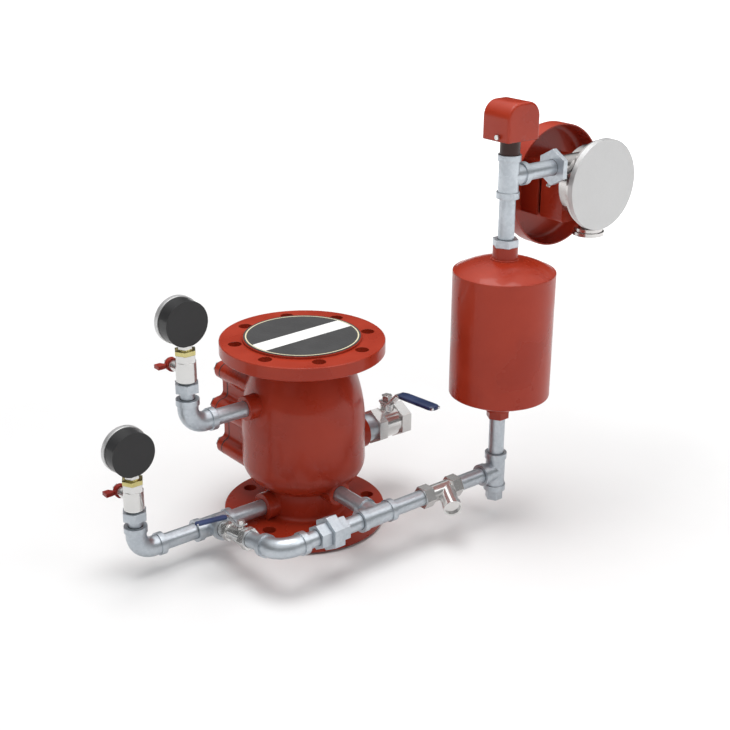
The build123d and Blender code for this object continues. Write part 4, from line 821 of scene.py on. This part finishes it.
gauges = {
    "lower": (LOWER_GAUGE_X, SUPPLY_Z + GAUGE_RISE),
    "upper": (UPPER_GAUGE_X, UPPER_LINE_Z + GAUGE_RISE),
}
pointer_cap = [(0, 11.8), (1.6, 11.7), (2.6, 11.3), (3.1, 10.8), (3.1, 10.1), (0, 10.1)]
for side, (x, middle) in gauges.items():
    build(f"{side}_dial_marks", dial_marks(x, middle), "valve", "pointer_black", close_rows=False)
    dial_numbers(f"{side}_dial_numbers", x, middle)
    cap = turned((x, 0, middle), ALONG_Y, pointer_cap, 40)
    build(f"{side}_pointer_cap", [cap], f"{side}_pointer", "gauge_brass", close_columns=False)

# Bezels with a rolled lip over the window
bezel = [(28.1, 0), (30.4, 0), (30.75, 0.4), (30.75, 6.2), (30.5, 7.2), (29.8, 7.85), (28.9, 8)]
bezel += [(27.5, 8), (26.9, 7.75), (26.6, 7.2), (26.6, 6.6), (28.1, 6.5)]
bezels = [turned((x, GAUGE_FRONT, middle), ALONG_Y, bezel, 96) for x, middle in gauges.values()]
bezel_rings = build("bezel_rings", bezels, "valve", "plate_grey")
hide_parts("gauge_bezels")

# Lock screw in the lower flat of the nut on the water motor
screw_place = (295.5, -151, 459.5)
screw_way = (0, 0.5, -0.87)
screw = [(0, -2), (1.6, -2), (1.6, 4.2), (2.6, 4.5), (3.2, 5.4), (3, 6.8), (1.7, 7.6), (0, 7.7)]
lock_screw = turned(screw_place, screw_way, screw, 32)
build("nut_lock_screw", [lock_screw], "valve", "zinc_bolts", close_columns=False)

# Washers and turned faces of the hand-hole cover's bolts
lobes = ((53, 57), (61, 6), (54, -56))
bolt_places = [(side * across, COVER_FRONT, COVER_Z + rise) for across, rise in lobes for side in (-1, 1)]
washer = [(10.6, 0.05), (10.6, 1.4), (10.3, 1.7), (9.0, 1.7), (9.0, 0.05)]
washers = [turned(place, ALONG_Y, washer, 48) for place in bolt_places]
build("bolt_washers", washers, "valve", "zinc_bolts")
crown = [(8.4, 5.9), (8.4, 6.1), (7.6, 6.52), (5.0, 6.55), (4.6, 6.54), (0, 6.54), (0, 5.9)]
crowns = [turned(place, ALONG_Y, crown, 48) for place in bolt_places]
build("bolt_crowns", crowns, "valve", "zinc_bolts", close_columns=False)

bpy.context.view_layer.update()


# Studio: pale floor, soft light from above, white surroundings that dim towards the sides
def floor():
    """Wide pale sheet that glows white far from the object, so that no edge of it shows."""
    size = 14
    glow_start, glow_full = 0.5, 2.4
    data = bpy.data.meshes.new("floor")
    corners = [(-size, -size, 0), (size, -size, 0), (size, size, 0), (-size, size, 0)]
    data.from_pydata(corners, [], [(0, 1, 2, 3)])
    sheet = bpy.data.objects.new("floor", data)
    bpy.context.scene.collection.objects.link(sheet)
    material, tree, shader = new_finish("floor")
    tone = place_group(tree, cloud, Scale=3.0, Deep=(0.81, 0.81, 0.81), Pale=(0.83, 0.83, 0.83))
    tree.links.new(tone.outputs["Colour"], shader.inputs["Base Color"])
    shader.inputs["Roughness"].default_value = 0.6
    away = tree.nodes.new("ShaderNodeVectorMath")
    away.operation = "LENGTH"
    tree.links.new(object_place(tree), away.inputs[0])
    far = spread(tree, away.outputs["Value"], glow_start, glow_full)
    glow = blend_colours(tree, far, (0.02, 0.02, 0.02), (0.8, 0.8, 0.8))
    tree.links.new(glow, shader.inputs["Emission Color"])
    shader.inputs["Emission Strength"].default_value = 1.0
    data.materials.append(material)


def surroundings():
    """White overhead, greyer near the horizon with darker screens that show in the gloss. The room
    itself looks plain white."""
    bright_turn = 0.9
    screen_count = 5.0
    world = bpy.data.worlds.new("studio")
    world.use_nodes = True
    tree = world.node_tree
    background = tree.nodes["Background"]
    ways = tree.nodes.new("ShaderNodeSeparateXYZ")
    tree.links.new(tree.nodes.new("ShaderNodeTexCoord").outputs["Generated"], ways.inputs[0])
    turn = math_node(tree, "ARCTAN2", ways.outputs["Y"], ways.outputs["X"])
    facing = math_node(tree, "COSINE", math_node(tree, "ADD", turn, bright_turn))
    brightness = spread(tree, facing, -0.6, 1.0, start=0.03, end=0.192)
    waves = math_node(tree, "COSINE", math_node(tree, "MULTIPLY", turn, screen_count))
    screens = spread(tree, waves, -0.9, 0.2, start=0.35, end=1.0)
    side = math_node(tree, "MULTIPLY", brightness, screens)
    sides = tree.nodes.new("ShaderNodeCombineColor")
    for socket in sides.inputs:
        tree.links.new(side, socket)
    high = spread(tree, ways.outputs["Z"], low=0.3, high=0.8)
    lighting = blend_colours(tree, high, sides.outputs[0], (0.96, 0.96, 0.96))
    seen = tree.nodes.new("ShaderNodeLightPath").outputs["Is Camera Ray"]
    tree.links.new(blend_colours(tree, seen, lighting, (1.0, 1.0, 1.0)), background.inputs["Color"])
    bpy.context.scene.world = world


def lamp(name, place, size, power):
    """Square soft lamp that points at the middle of the object."""
    aim = Vector((0.05, 0, 0.2))
    light = bpy.data.lights.new(name, "AREA")
    light.size = size
    light.energy = power
    carrier = bpy.data.objects.new(name, light)
    bpy.context.scene.collection.objects.link(carrier)
    carrier.location = place
    carrier.rotation_euler = (aim - Vector(place)).to_track_quat("-Z", "Y").to_euler()


floor()
surroundings()
lamp("key", place=(1.0, -1.5, 2.2), size=1.5, power=11)
lamp("top", place=(0.0, 0.1, 2.6), size=1.6, power=39)
lamp("fill", place=(-1.8, -0.8, 1.2), size=1.0, power=1.0)
